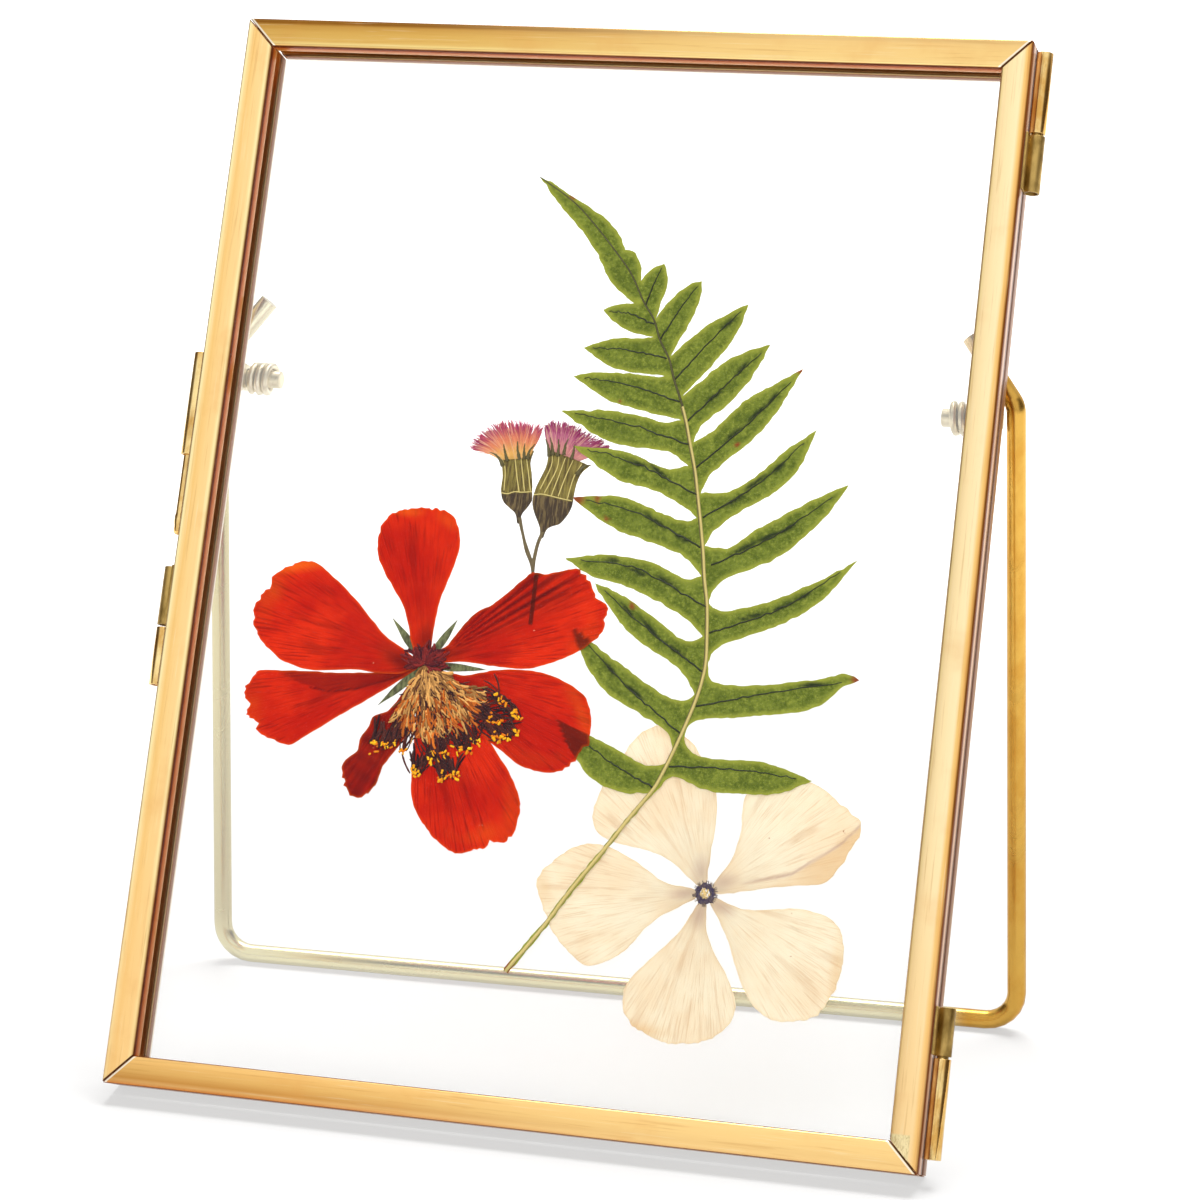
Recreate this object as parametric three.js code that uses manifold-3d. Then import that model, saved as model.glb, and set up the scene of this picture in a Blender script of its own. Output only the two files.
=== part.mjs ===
// Pressed flower frame: two glazed brass leaves hinged together like a book, a sprung wire stand
// behind them, and three pressed plants held flat between the two panes.
//
// The leaves are drawn upright in a plane of their own and then leaned back as one group:
//   x  to the right, 0 on the centre line
//   y  up the leaf, 0 at its bottom edge
//   z  out of the front face, 0 on the face, so everything behind it is negative
// Units are millimetres.

import * as THREE from 'three';
import { mergeVertices } from 'three/addons/utils/BufferGeometryUtils.js';
import Module from 'manifold-3d';

const wasm = await Module();
wasm.setup();

// ---------------------------------------------------------------- driving dimensions

const WIDTH = 134;              // outside width of both leaves
const HEIGHT = 180;             // outside height of both leaves
const DEPTH = 7.6;              // front face to back face of the closed frame
const LEAN = THREE.MathUtils.degToRad(27.5);   // how far it leans back from upright

const FACE = 4.8;               // width of a rail's face
const SHEET = 0.6;              // brass sheet that the rails are folded from
const EDGE_ROUND = 0.4;         // fold radius along the edges of a face
const MITRE_GAP = 0.12;         // open seam at each end of a rail
const FRONT_LEAF_BACK = -4.1;   // where the front leaf's side wall stops
const BACK_LEAF_FRONT = -4.3;   // where the back leaf's side wall starts
const FRONT_LIP_BACK = -2.85;   // how deep the front leaf's inner lip reaches
const BACK_LIP_FRONT = -5.65;   // where the back leaf's inner lip starts

const PANE = 0.9;               // glass thickness
const FRONT_PANE_BACK = -3.85;  // inner face of the front pane
const BACK_PANE_FRONT = -4.65;  // inner face of the back pane
const PANE_REBATE = 0.9;        // from the leaf's outside to the edge of its pane

const KNUCKLE_R = 1.35;         // hinge and clasp tubes, outside
const KNUCKLE_BORE = 1.0;
const HINGE_PIN_R = 0.92;
const HINGE_Z = -3.6;           // depth of the hinge and clasp axes
const HINGE_X = WIDTH / 2 + 0.1 + KNUCKLE_R;
const HINGE_PLATE = 0.4;        // sheet of the plates that carry the tubes

const BOLT_R = 0.82;
const BOLT_TIP_R = 0.93;        // collar near the tip, still free in the tubes
const BOLT_TOP = 121.6;
const BOLT_TIP = 91;            // lowest point of the drawn-back bolt

const WIRE_R = 1.6;             // stand wire
const PIVOT_Y = 120;            // height of the stand's pivots up the leaf
const PIVOT_BEHIND = 3;         // pivots behind the back face
const LEG_X = 68.3;             // half the stand's width at the pivots
const FOOT_X = 70.5;            // half its width at the foot: the legs splay a little
const FOOT_BACK = 56;           // foot bar behind the frame's bottom edge
const FOOT_SKEW = 2;            // the right foot stands this much further back, the left nearer
const FOOT_BEND = 5.2;          // bend radius of the two foot corners
const STUB = { x: 60.2, y: 133.2 };      // end of the leg's cranked tail, which is the stop
const STUB_BEND = 3.2;
const CRANK_ABOVE = 2.6;        // where the leg cranks inwards, above its pivot
const PIVOT_PIN_R = 1.5;
const SLEEVE_R = 2.2;
const PIVOT_PIN_END = 56.6;     // where the pins end, from the centre line
const SPRING_WIRE_R = 0.6;
const SPRING_TURNS = 2.75;
const SPRING_PITCH = 1.3;

// Layers between the panes, front to back: [front face, thickness]
const LAYER = {
  disc: [-3.9, 0.1],
  petalOver: [-4.05, 0.07],
  petalUnder: [-4.17, 0.07],
  frond: [-4.29, 0.07],
  tuft: [-4.41, 0.06],
  backmost: [-4.52, 0.08],
};

// ---------------------------------------------------------------- materials

const finish = (color, roughness, metalness = 0) =>
  new THREE.MeshStandardMaterial({ color, roughness, metalness });

const BRASS = finish(0xd9a441, 0.3, 1);
const OLD_BRASS = finish(0x9a7a35, 0.45, 1);
const GLASS = new THREE.MeshStandardMaterial({
  color: 0xf4faf8, roughness: 0.03, transparent: true, opacity: 0.18,
});
const PETAL_RED = finish(0xc9280f, 0.75);
const DISC_BROWN = finish(0x8a5a24, 0.9);
const BRACT_GREEN = finish(0x5a5a30, 0.85);
const FROND_GREEN = finish(0x5d7430, 0.8);
const TUFT_PINK = finish(0xb4577f, 0.9);
const CUP_OLIVE = finish(0x6a6a34, 0.85);
const STALK_BROWN = finish(0x7a6a3c, 0.85);
const PETAL_CREAM = finish(0xeadcb8, 0.8);
const EYE_NAVY = finish(0x2e2a3c, 0.85);

// ---------------------------------------------------------------- helpers

const leaves = new THREE.Group();         // everything that leans with the frame
leaves.rotation.x = Math.PI / 2 - LEAN;
const middleY = (HEIGHT * Math.sin(LEAN) - DEPTH * Math.cos(LEAN)) / 2;
// The leaves stand on their back bottom edge, with the origin under the middle of the frame.
leaves.position.set(0, -middleY - DEPTH * Math.cos(LEAN), DEPTH * Math.sin(LEAN));

const part = new THREE.Group();
part.add(leaves);

function piece(name, geometry, material, parent = leaves) {
  const mesh = new THREE.Mesh(geometry, material);
  mesh.name = name;
  parent.add(mesh);
  return mesh;
}

const flatShape = (points) => new THREE.Shape(points.map(([x, y]) => new THREE.Vector2(x, y)));

// A flat piece lying in one of the layers between the panes.
function pressed(name, points, [front, thickness], material) {
  const geometry = new THREE.ExtrudeGeometry(flatShape(points), { depth: thickness, bevelEnabled: false });
  geometry.translate(0, 0, front - thickness);
  return piece(name, geometry, material);
}

// Rounds a hand-drawn closed outline by running a curve through its points.
function rounded(points, perSpan = 2) {
  const curve = new THREE.CatmullRomCurve3(
    points.map(([x, y]) => new THREE.Vector3(x, y, 0)), true, 'centripetal');
  const samples = [];
  for (let i = 0; i < points.length * perSpan; i += 1) {
    const p = curve.getPoint(i / (points.length * perSpan));
    samples.push([p.x, p.y]);
  }
  return samples;
}

function solid(geometry) {
  const bare = geometry.index ? geometry.toNonIndexed() : geometry.clone();
  bare.deleteAttribute('normal');
  bare.deleteAttribute('uv');
  const merged = mergeVertices(bare, 1e-4);
  return new wasm.Manifold(new wasm.Mesh({
    numProp: 3,
    vertProperties: new Float32Array(merged.attributes.position.array),
    triVerts: new Uint32Array(merged.index.array),
  }));
}

function fromSolid(manifold) {
  const mesh = manifold.getMesh();
  const geometry = new THREE.BufferGeometry();
  geometry.setAttribute('position', new THREE.BufferAttribute(mesh.vertProperties.slice(), 3));
  geometry.setIndex(new THREE.BufferAttribute(mesh.triVerts.slice(), 1));
  geometry.computeVertexNormals();
  return geometry;
}

// A round bar along y, from one height to another.
function uprightBar(radius, from, to, sides = 16) {
  const geometry = new THREE.CylinderGeometry(radius, radius, to - from, sides);
  geometry.translate(0, (from + to) / 2, 0);
  return geometry;
}

// A round bar along x.
function crossBar(radius, from, to, sides = 16) {
  const geometry = new THREE.CylinderGeometry(radius, radius, to - from, sides);
  geometry.rotateZ(Math.PI / 2);
  geometry.translate((from + to) / 2, 0, 0);
  return geometry;
}

// A wire that follows a list of stations as they stand, so straight runs cost one step.
class BentWire extends THREE.Curve {
  constructor(stations) {
    super();
    this.stations = stations;
  }

  getPoint(t) {
    const last = this.stations.length - 1;
    const place = Math.min(Math.max(t, 0), 1) * last;
    const i = Math.min(Math.floor(place), last - 1);
    return this.stations[i].clone().lerp(this.stations[i + 1], place - i);
  }

  getPointAt(t) {
    return this.getPoint(t);
  }

  getTangentAt(t) {
    const step = 0.25 / (this.stations.length - 1);
    return this.getPoint(t + step).sub(this.getPoint(t - step)).normalize();
  }
}

function wireGeometry(stations, radius, sides) {
  const section = new THREE.Shape();
  section.absarc(0, 0, radius, 0, Math.PI * 2);
  return new THREE.ExtrudeGeometry(section, {
    steps: stations.length - 1,
    curveSegments: sides,
    extrudePath: new BentWire(stations),
  });
}

// The stations of a bend that rounds one corner of a wire.
function bend(before, corner, after, radius, steps = 6) {
  const arriving = corner.clone().sub(before).normalize();
  const leaving = after.clone().sub(corner).normalize();
  const turn = arriving.angleTo(leaving);
  const setback = radius * Math.tan(turn / 2);
  const start = corner.clone().addScaledVector(arriving, -setback);
  const axis = arriving.clone().cross(leaving).normalize();
  const centre = start.clone().addScaledVector(axis.clone().cross(arriving), radius);
  const stations = [];
  for (let i = 0; i <= steps; i += 1) {
    const arm = start.clone().sub(centre).applyAxisAngle(axis, (turn * i) / steps);
    stations.push(centre.clone().add(arm));
  }
  return stations;
}

// ---------------------------------------------------------------- the two leaves

// Section of a folded rail as [in from the outside edge, depth].
const frontSection = [
  [EDGE_ROUND, 0], [FACE - EDGE_ROUND, 0], [FACE - 0.3 * EDGE_ROUND, -0.3 * EDGE_ROUND],
  [FACE, -EDGE_ROUND], [FACE, FRONT_LIP_BACK], [FACE - SHEET, FRONT_LIP_BACK],
  [FACE - SHEET, -SHEET], [SHEET, -SHEET], [SHEET, FRONT_LEAF_BACK], [0, FRONT_LEAF_BACK],
  [0, -EDGE_ROUND], [0.3 * EDGE_ROUND, -0.3 * EDGE_ROUND],
];
const backSection = [
  [0, BACK_LEAF_FRONT], [SHEET, BACK_LEAF_FRONT], [SHEET, -DEPTH + SHEET],
  [FACE - SHEET, -DEPTH + SHEET], [FACE - SHEET, BACK_LIP_FRONT], [FACE, BACK_LIP_FRONT],
  [FACE, -DEPTH], [0, -DEPTH],
];

// A straight rail with mitred ends. It runs along x with its outside edge on y = 0 and its
// inside towards +y, and is then turned about z into its place.
function rail(name, section, length, turn, x, y) {
  const geometry = new THREE.ExtrudeGeometry(flatShape(section), { depth: 1, bevelEnabled: false });
  const corners = geometry.attributes.position;
  for (let i = 0; i < corners.count; i += 1) {
    const inward = corners.getX(i);
    const depth = corners.getY(i);
    const end = corners.getZ(i) > 0.5 ? 1 : -1;
    corners.setXYZ(i, end * (length / 2 - inward - MITRE_GAP), inward, depth);
  }
  geometry.computeVertexNormals();
  const mesh = piece(name, geometry, BRASS);
  mesh.rotation.z = turn;
  mesh.position.set(x, y, 0);
}

for (const [leaf, section] of [['front', frontSection], ['back', backSection]]) {
  rail(`${leaf}_bottom_rail`, section, WIDTH, 0, 0, 0);
  rail(`${leaf}_top_rail`, section, WIDTH, Math.PI, 0, HEIGHT);
  rail(`${leaf}_left_stile`, section, HEIGHT, -Math.PI / 2, -WIDTH / 2, HEIGHT / 2);
  rail(`${leaf}_right_stile`, section, HEIGHT, Math.PI / 2, WIDTH / 2, HEIGHT / 2);
}

function pane(name, front) {
  const glass = new THREE.BoxGeometry(WIDTH - 2 * PANE_REBATE, HEIGHT - 2 * PANE_REBATE, PANE);
  glass.translate(0, HEIGHT / 2, front - PANE / 2);
  piece(name, glass, GLASS);
}
pane('front_pane', FRONT_PANE_BACK + PANE);
pane('back_pane', BACK_PANE_FRONT);

// ---------------------------------------------------------------- hinges and clasp

// A tube on the side of a leaf, with the plate that it is rolled from lying on that leaf's side
// wall. side is 1 on the right and -1 on the left; the plate runs from plateFront to plateBack.
function knuckle(name, side, from, to, plateFront, plateBack, material) {
  const tube = solid(uprightBar(KNUCKLE_R, from, to).translate(side * HINGE_X, 0, HINGE_Z));
  const bore = solid(uprightBar(KNUCKLE_BORE, from - 1, to + 1).translate(side * HINGE_X, 0, HINGE_Z));
  const plate = new THREE.BoxGeometry(HINGE_PLATE, to - from, plateFront - plateBack);
  const plateX = WIDTH / 2 + 0.1 + HINGE_PLATE / 2;
  plate.translate(side * plateX, (from + to) / 2, (plateFront + plateBack) / 2);
  piece(name, fromSolid(tube.add(solid(plate)).subtract(bore)), material);
}

const onFrontLeaf = [-0.7, HINGE_Z];
const onBackLeaf = [HINGE_Z, -DEPTH + 0.5];

// Hinges: one tube on each leaf, on a common pin, near both ends of the right stile.
knuckle('top_hinge_back_knuckle', 1, 165.4, 178.9, ...onBackLeaf, BRASS);
knuckle('top_hinge_front_knuckle', 1, 155.6, 165, ...onFrontLeaf, OLD_BRASS);
knuckle('bottom_hinge_front_knuckle', 1, 18.4, 25.8, ...onFrontLeaf, OLD_BRASS);
knuckle('bottom_hinge_back_knuckle', 1, 2.6, 18, ...onBackLeaf, BRASS);
piece('top_hinge_pin', uprightBar(HINGE_PIN_R, 156, 178.6, 12).translate(HINGE_X, 0, HINGE_Z), OLD_BRASS);
piece('bottom_hinge_pin', uprightBar(HINGE_PIN_R, 2.9, 25.4, 12).translate(HINGE_X, 0, HINGE_Z), OLD_BRASS);

// Clasp: a bolt in a long guide tube drops through the keeper tubes of the two leaves.
knuckle('clasp_guide', -1, 104.7, 122.2, ...onBackLeaf, BRASS);
knuckle('clasp_front_keeper', -1, 75.7, 85.5, ...onFrontLeaf, OLD_BRASS);
knuckle('clasp_back_keeper', -1, 65.6, 75.3, ...onBackLeaf, BRASS);

const boltProfile = [
  [0, BOLT_TIP], [BOLT_R * 0.7, BOLT_TIP + 0.15], [BOLT_R, BOLT_TIP + 0.6],
  [BOLT_R, BOLT_TIP + 1.6], [BOLT_TIP_R, BOLT_TIP + 2.2], [BOLT_TIP_R, BOLT_TIP + 3.2],
  [BOLT_R, BOLT_TIP + 3.8], [BOLT_R, BOLT_TOP], [0, BOLT_TOP],
].map(([r, y]) => new THREE.Vector2(r, y));
piece('clasp_bolt', new THREE.LatheGeometry(boltProfile, 12).translate(-HINGE_X, 0, HINGE_Z), OLD_BRASS);

// ---------------------------------------------------------------- the stand

const PIVOT_Z = -DEPTH - PIVOT_BEHIND;
const onLeaves = (x, y, z) => leaves.localToWorld(new THREE.Vector3(x, y, z));
leaves.updateMatrixWorld(true);

// Foot bar and pivots, in the object's own frame: +Y is backwards and the floor is Z = 0.
const footCorner = (side) => new THREE.Vector3(
  side * FOOT_X, FOOT_BACK + side * FOOT_SKEW - middleY, WIRE_R);
const crank = (side) => onLeaves(side * LEG_X, PIVOT_Y + CRANK_ABOVE, PIVOT_Z);
const stubEnd = (side) => onLeaves(side * STUB.x, STUB.y, -DEPTH - WIRE_R - 0.2);

const standStations = [
  stubEnd(-1),
  ...bend(stubEnd(-1), crank(-1), footCorner(-1), STUB_BEND),
  ...bend(crank(-1), footCorner(-1), footCorner(1), FOOT_BEND),
  ...bend(footCorner(-1), footCorner(1), crank(1), FOOT_BEND),
  ...bend(footCorner(1), crank(1), stubEnd(1), STUB_BEND),
  stubEnd(1),
];
piece('stand_wire', wireGeometry(standStations, WIRE_R, 6), BRASS, part);

for (const [side, word] of [[-1, 'left'], [1, 'right']]) {
  // The pin is soldered to the inside of the leg and turns in a sleeve on the back leaf.
  const ends = [side * PIVOT_PIN_END, side * (LEG_X - WIRE_R - 0.3)].sort((a, b) => a - b);
  piece(`pivot_pin_${word}`,
    crossBar(PIVOT_PIN_R, ...ends).translate(0, PIVOT_Y, PIVOT_Z), BRASS);

  const sleeveEnds = [side * (WIDTH / 2 - FACE + 0.3), side * (WIDTH / 2 - 1.4)].sort((a, b) => a - b);
  const tube = solid(crossBar(SLEEVE_R, ...sleeveEnds).translate(0, PIVOT_Y, PIVOT_Z));
  const saddleDepth = PIVOT_BEHIND - 0.1;
  const saddle = new THREE.BoxGeometry(sleeveEnds[1] - sleeveEnds[0], 4.2, saddleDepth);
  saddle.translate((sleeveEnds[0] + sleeveEnds[1]) / 2, PIVOT_Y, -DEPTH - 0.1 - saddleDepth / 2);
  const bore = solid(crossBar(PIVOT_PIN_R + 0.12, sleeveEnds[0] - 1, sleeveEnds[1] + 1)
    .translate(0, PIVOT_Y, PIVOT_Z));
  piece(`pivot_sleeve_${word}`, fromSolid(tube.add(solid(saddle)).subtract(bore)), OLD_BRASS);

  // Torsion spring: a few turns of thin wire round the pin, beside the sleeve.
  const stations = [];
  const coilR = PIVOT_PIN_R + 0.2 + SPRING_WIRE_R;
  const stepsPerTurn = 12;
  for (let i = 0; i <= SPRING_TURNS * stepsPerTurn; i += 1) {
    const angle = (i / stepsPerTurn) * Math.PI * 2 - Math.PI / 2;
    const along = WIDTH / 2 - FACE - 0.6 - (i / stepsPerTurn) * SPRING_PITCH;
    stations.push(new THREE.Vector3(
      side * along, PIVOT_Y + coilR * Math.sin(angle), PIVOT_Z + coilR * Math.cos(angle)));
  }
  piece(`pivot_spring_${word}`, wireGeometry(stations, SPRING_WIRE_R, 4), BRASS);
}

// ---------------------------------------------------------------- red flower

const RED_HUB = [-22.7, 72.6];
const RED_PETALS = {
  top: ['petalOver', [
    [-24.6, 74.4], [-26, 77.8], [-27.6, 81.9], [-30.7, 86.1], [-33, 89.8], [-33.4, 93.5],
    [-32.1, 96.6], [-29.5, 98], [-25.3, 98.5], [-23.4, 98.4], [-21, 97.2], [-19.3, 93.6],
    [-19.9, 89.1], [-21.4, 83.6], [-22, 77.3], [-22.1, 74.6]]],
  upper_left: ['petalOver', [
    [-24.7, 73.4], [-29.4, 76.4], [-36.4, 82.9], [-41.3, 86.7], [-43.9, 88.2], [-47.4, 87.8],
    [-50.9, 85.1], [-51, 83.2], [-52.1, 82.5], [-53.2, 80], [-52.8, 76.4], [-50.7, 74],
    [-47.8, 71.7], [-42, 70.3], [-34.8, 70.9], [-26.1, 71]]],
  left: ['petalUnder', [
    [-24.9, 71.8], [-31, 70.8], [-37.2, 70.2], [-42.2, 70.1], [-47.2, 69.8], [-51.4, 69.3],
    [-53.1, 65.2], [-51.8, 63.9], [-52.5, 62], [-50.4, 61.3], [-50.3, 59.9], [-47.4, 58.5],
    [-44.2, 57.7], [-41.2, 59.7], [-37.1, 62.6], [-31.3, 66.5], [-27.2, 69.4], [-25, 71.3]]],
  lower_left: ['petalUnder', [
    [-24.4, 69.6], [-26.4, 66.9], [-28.1, 64.6], [-30.5, 63.4], [-30.9, 62], [-32.2, 59.5],
    [-32.4, 57.6], [-34.2, 56], [-34.5, 53], [-33.7, 52.6], [-34.2, 51.6], [-33, 50.7],
    [-31.3, 50.1], [-29.9, 50.8], [-28.5, 52.6], [-27.6, 55.6], [-26.5, 57.4], [-24.3, 61],
    [-23.2, 66]]],
  bottom: ['petalOver', [
    [-22.8, 70.4], [-23, 64], [-22.7, 58.4], [-22.4, 52.4], [-21.4, 49.2], [-18.5, 45.7],
    [-15.3, 43.3], [-11.3, 42.7], [-10.6, 43.6], [-8.6, 43.7], [-7.9, 44.8], [-5.7, 45],
    [-3.6, 49.1], [-4.8, 53.9], [-8.3, 58.8], [-12, 62.9], [-17, 67.6], [-21, 70.8]]],
  lower_right: ['petalUnder', [
    [-20.2, 71.6], [-15.9, 71.4], [-11.6, 72.4], [-7.7, 73], [-3.7, 72.9], [-0.2, 72.2],
    [2.6, 71], [4.8, 69.3], [6.3, 65.6], [6.1, 63.1], [6.5, 61.6], [5, 60.9], [4.7, 59.6],
    [3, 57.7], [0.5, 56.8], [-2.2, 56.9], [-4.9, 57.7], [-7.7, 59.4], [-12.1, 62.4],
    [-17.2, 68], [-20, 70.4]]],
  upper_right: ['petalOver', [
    [-21, 74.8], [-19.2, 76.2], [-17.7, 78.5], [-15, 81.9], [-13, 83], [-9.4, 86.2],
    [-7.8, 87.9], [-6.4, 89.1], [-4.4, 88.9], [-1, 89.7], [0.7, 90.1], [3.1, 88.7],
    [4.9, 85.8], [6.4, 84.7], [6.9, 83], [6.3, 80.2], [4.8, 78.2], [2.4, 76.5], [-1.3, 74.6],
    [-5.1, 73.3], [-11.7, 73.3], [-16.2, 73.6], [-20.2, 73.4]]],
};
for (const [where, [layer, outline]] of Object.entries(RED_PETALS)) {
  pressed(`red_petal_${where}`, rounded(outline), LAYER[layer], PETAL_RED);
}

// The disc is crushed to one side, so its florets fan out below the hub.
pressed('red_disc', rounded([
  [-24.8, 73.8], [-18.7, 73.6], [-12, 70], [-5.2, 65.8], [-5.6, 62.3], [-10.5, 59],
  [-14, 56], [-17, 53.8], [-22.2, 54.4], [-26, 58], [-30.6, 58.9], [-28.4, 64.5], [-26.6, 70],
]), LAYER.disc, DISC_BROWN);

// Green bracts under the petals: narrow pointed leaflets on one small plate.
const BRACTS = [        // direction in degrees, length
  [0, 10.6], [60, 9.2], [95, 9], [132, 10], [180, 9.5], [225, 10.3], [270, 9], [320, 9],
];
const bractOutline = BRACTS.flatMap(([degrees, length]) => {
  const spoke = (turn, r) => {
    const angle = THREE.MathUtils.degToRad(degrees + turn);
    return [RED_HUB[0] + r * Math.cos(angle), RED_HUB[1] + r * Math.sin(angle)];
  };
  return [spoke(-14, 2.6), spoke(-7, 5.4), spoke(0, length), spoke(7, 5.4), spoke(14, 2.6)];
});
pressed('red_bracts', bractOutline, LAYER.frond, BRACT_GREEN);

// ---------------------------------------------------------------- fern frond

// Each lobe runs out along its upper edge to its tip and back along its lower edge to the notch
// below it. The lobes are listed from the top of the frond downwards.
const FROND_TIP = [-13.6, 155.4];
const TOP_LOBE = {
  left: [[-11, 152.3], [-8.3, 149.5], [-5.2, 146.5], [-2, 142.4], [0.6, 138.3], [2.6, 136.5],
    [4.7, 135.1], [6.1, 135]],
  right: [[-9.8, 153.7], [-6.8, 151.9], [-2.9, 149.7], [0.6, 147], [1.8, 145.4], [2.5, 143.6],
    [3.9, 143.4], [5.3, 141.6], [5.8, 138.6]],
};
const LEFT_LOBES = [
  { upper: [[4, 134.6], [1.3, 134.1]], tip: [0.1, 133.3],
    lower: [[0.8, 132.4], [3.3, 130.8], [5.7, 129.8]], notch: [9, 129.3] },
  { upper: [[7.3, 128.9], [4.3, 128.8], [1.3, 128.4]], tip: [-2.6, 126.8],
    lower: [[-0.3, 125.3], [3, 123.7], [9.6, 123]], notch: [12.4, 122.9] },
  { upper: [[10.4, 122.7], [7.3, 122.9], [4.2, 123], [0.4, 122.8]], tip: [-3.7, 122],
    lower: [[-0.8, 120.3], [2.5, 118.4], [8, 117]], notch: [15.3, 115.7] },
  { upper: [[12.7, 115.1], [9.5, 115.8], [5.7, 116.4], [1.1, 116.6]], tip: [-5, 116.1],
    lower: [[-2.4, 114.5], [0.5, 112.8], [3.7, 111.5], [7.7, 110.8], [14.2, 110.2]],
    notch: [17.5, 108.2] },
  { upper: [[16.1, 107.9], [14.4, 107.6], [12.5, 107.9], [8.5, 109.4], [5.7, 110.1]],
    tip: [-2.1, 110.4], lower: [[0.2, 108.6], [3.6, 106.5], [6.4, 105.2], [12.6, 103.7], [17.2, 101.6]],
    notch: [19.8, 99.8] },
  { upper: [[18.9, 99.4], [17.4, 99.3], [12, 100.9], [7.1, 102.5], [3.1, 102.4]],
    tip: [-1.3, 101.9], lower: [[0.3, 100.5], [3.6, 98.6], [6.4, 97.1], [10, 96], [18.6, 93.2]],
    notch: [21.6, 90.4] },
  { upper: [[20.7, 90.2], [19, 89.9], [14, 91.8], [10.4, 92.6], [3.4, 92.6]],
    tip: [-1.3, 91.8], lower: [[1.1, 90.2], [3.9, 89.1], [8.4, 88.1], [12.9, 86.6], [20.2, 83.1]],
    notch: [22.9, 80.7] },
  { upper: [[22, 80], [19.7, 80], [16.9, 81.6], [10.4, 85.7], [7.6, 86.9]],
    tip: [3.8, 88.2], lower: [[5.6, 85.9], [8.1, 83.1], [11, 80.3], [13.9, 78.4], [20.3, 74.7]],
    notch: [22.8, 71.3] },
  { upper: [[21.9, 70.4], [19.1, 70.3], [12.7, 73.6], [5.2, 78.2]],
    tip: [1.5, 80.4], lower: [[3.4, 76.3], [5.3, 73.3], [8.4, 70.4], [15, 67], [19.4, 64.5]],
    notch: [20.1, 62] },
  { upper: [[19.5, 60.3], [18.3, 59.4], [16.6, 59.3], [8, 62.7]],
    tip: [0.6, 65.4], lower: [[2, 62.7], [5.2, 58.6], [8.1, 56.1], [11.3, 54.9], [14.1, 54.6]],
    notch: [17.3, 55.1] },
];
const RIGHT_LOBES = [
  { upper: [[7.1, 140.3]], tip: [9.4, 141.6],
    lower: [[10.3, 138.8], [9.8, 135.7]], notch: [9.1, 132.4] },
  { upper: [[10.5, 134.6], [13.9, 138.2]], tip: [16.1, 139],
    lower: [[16.2, 136.8], [15.7, 134.1], [14.1, 130.2]], notch: [12.3, 126.2] },
  { upper: [[15, 129.1], [17.7, 131.5], [22.1, 134.4]], tip: [24.3, 135.5],
    lower: [[22.8, 130.6], [20.6, 126.8], [17.9, 123.2]], notch: [15.1, 119.7] },
  { upper: [[18.4, 122.9], [21.4, 125.7], [24.6, 127.5]], tip: [28.6, 128.9],
    lower: [[27.1, 125.2], [23, 119], [18.7, 114.8]], notch: [17.8, 112.2] },
  { upper: [[19.1, 112.9], [20.5, 114], [25.9, 119.9], [28.7, 121.7]], tip: [34.4, 125.2],
    lower: [[31.9, 119.7], [29.4, 115.6], [26.4, 112.1], [21.3, 107.1]], notch: [20, 103.9] },
  { upper: [[21.4, 104], [23.8, 104.2], [28.4, 107], [32.8, 111.4]], tip: [37.8, 115.4],
    lower: [[36, 109.7], [34.4, 107], [30.7, 103.8], [26.7, 101.4], [22.8, 97.7]],
    notch: [21.6, 95.4] },
  { upper: [[22.7, 95.2], [24, 95.1], [26.5, 95.8], [29.6, 98.4], [32.8, 100.5], [40.3, 105]],
    tip: [43.8, 106.6], lower: [[40.7, 101.4], [34.7, 94.9], [31.5, 93], [25.4, 90], [23.9, 88.2]],
    notch: [23.4, 86.1] },
  { upper: [[24.1, 85.4], [25.1, 85.1], [27.7, 85.3], [34.2, 87.5], [42.2, 91.8]],
    tip: [46.6, 94.6], lower: [[42.2, 88.5], [38.6, 85.4], [34.6, 83.1], [25.8, 79.2], [24.7, 77.9]],
    notch: [24.4, 76.2] },
  { upper: [[24.5, 75.1], [25.1, 74], [26.9, 73.3], [34.1, 73.7], [42.4, 75.3], [47.1, 76.4]],
    tip: [49.1, 75.6], lower: [[46.3, 74.1], [44, 71.7], [40.4, 69.9], [28, 67.9], [23, 66.9]],
    notch: [22, 65.3] },
  { upper: [[21.9, 64], [22.6, 62.7], [24, 61.7], [26.2, 61.3], [34.6, 61.4], [38.5, 60.6]],
    tip: [43.3, 59.1], lower: [[38.1, 56.7], [34.4, 56.2], [25.9, 56.3], [21.5, 57.8], [20, 57.5]],
    notch: [18.6, 55.9] },
];

// Centre line of the bare stem below the blade, and its width at both ends.
const STEM = [[14.5, 50.8], [10.7, 45], [6.2, 38.4], [2.3, 32], [-2.9, 24.6]];
const STEM_WIDTH = [0.7, 1];

// A curve through a run of points, without its last point.
function curved(points, perSpan = 2) {
  const curve = new THREE.CatmullRomCurve3(
    points.map(([x, y]) => new THREE.Vector3(x, y, 0)), false, 'centripetal');
  const spans = points.length - 1;
  return Array.from({ length: spans * perSpan },
    (_, i) => curve.getPoint(i / (spans * perSpan)).toArray().slice(0, 2));
}

// One side of the blade from the notch under the top lobe down to the stem.
function bladeSide(firstNotch, lobes) {
  const points = [];
  let notch = firstNotch;
  for (const lobe of lobes) {
    points.push(...curved([notch, ...lobe.upper, lobe.tip]));
    points.push(...curved([lobe.tip, ...lobe.lower, lobe.notch]));
    notch = lobe.notch;
  }
  return [...points, notch];
}

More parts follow.
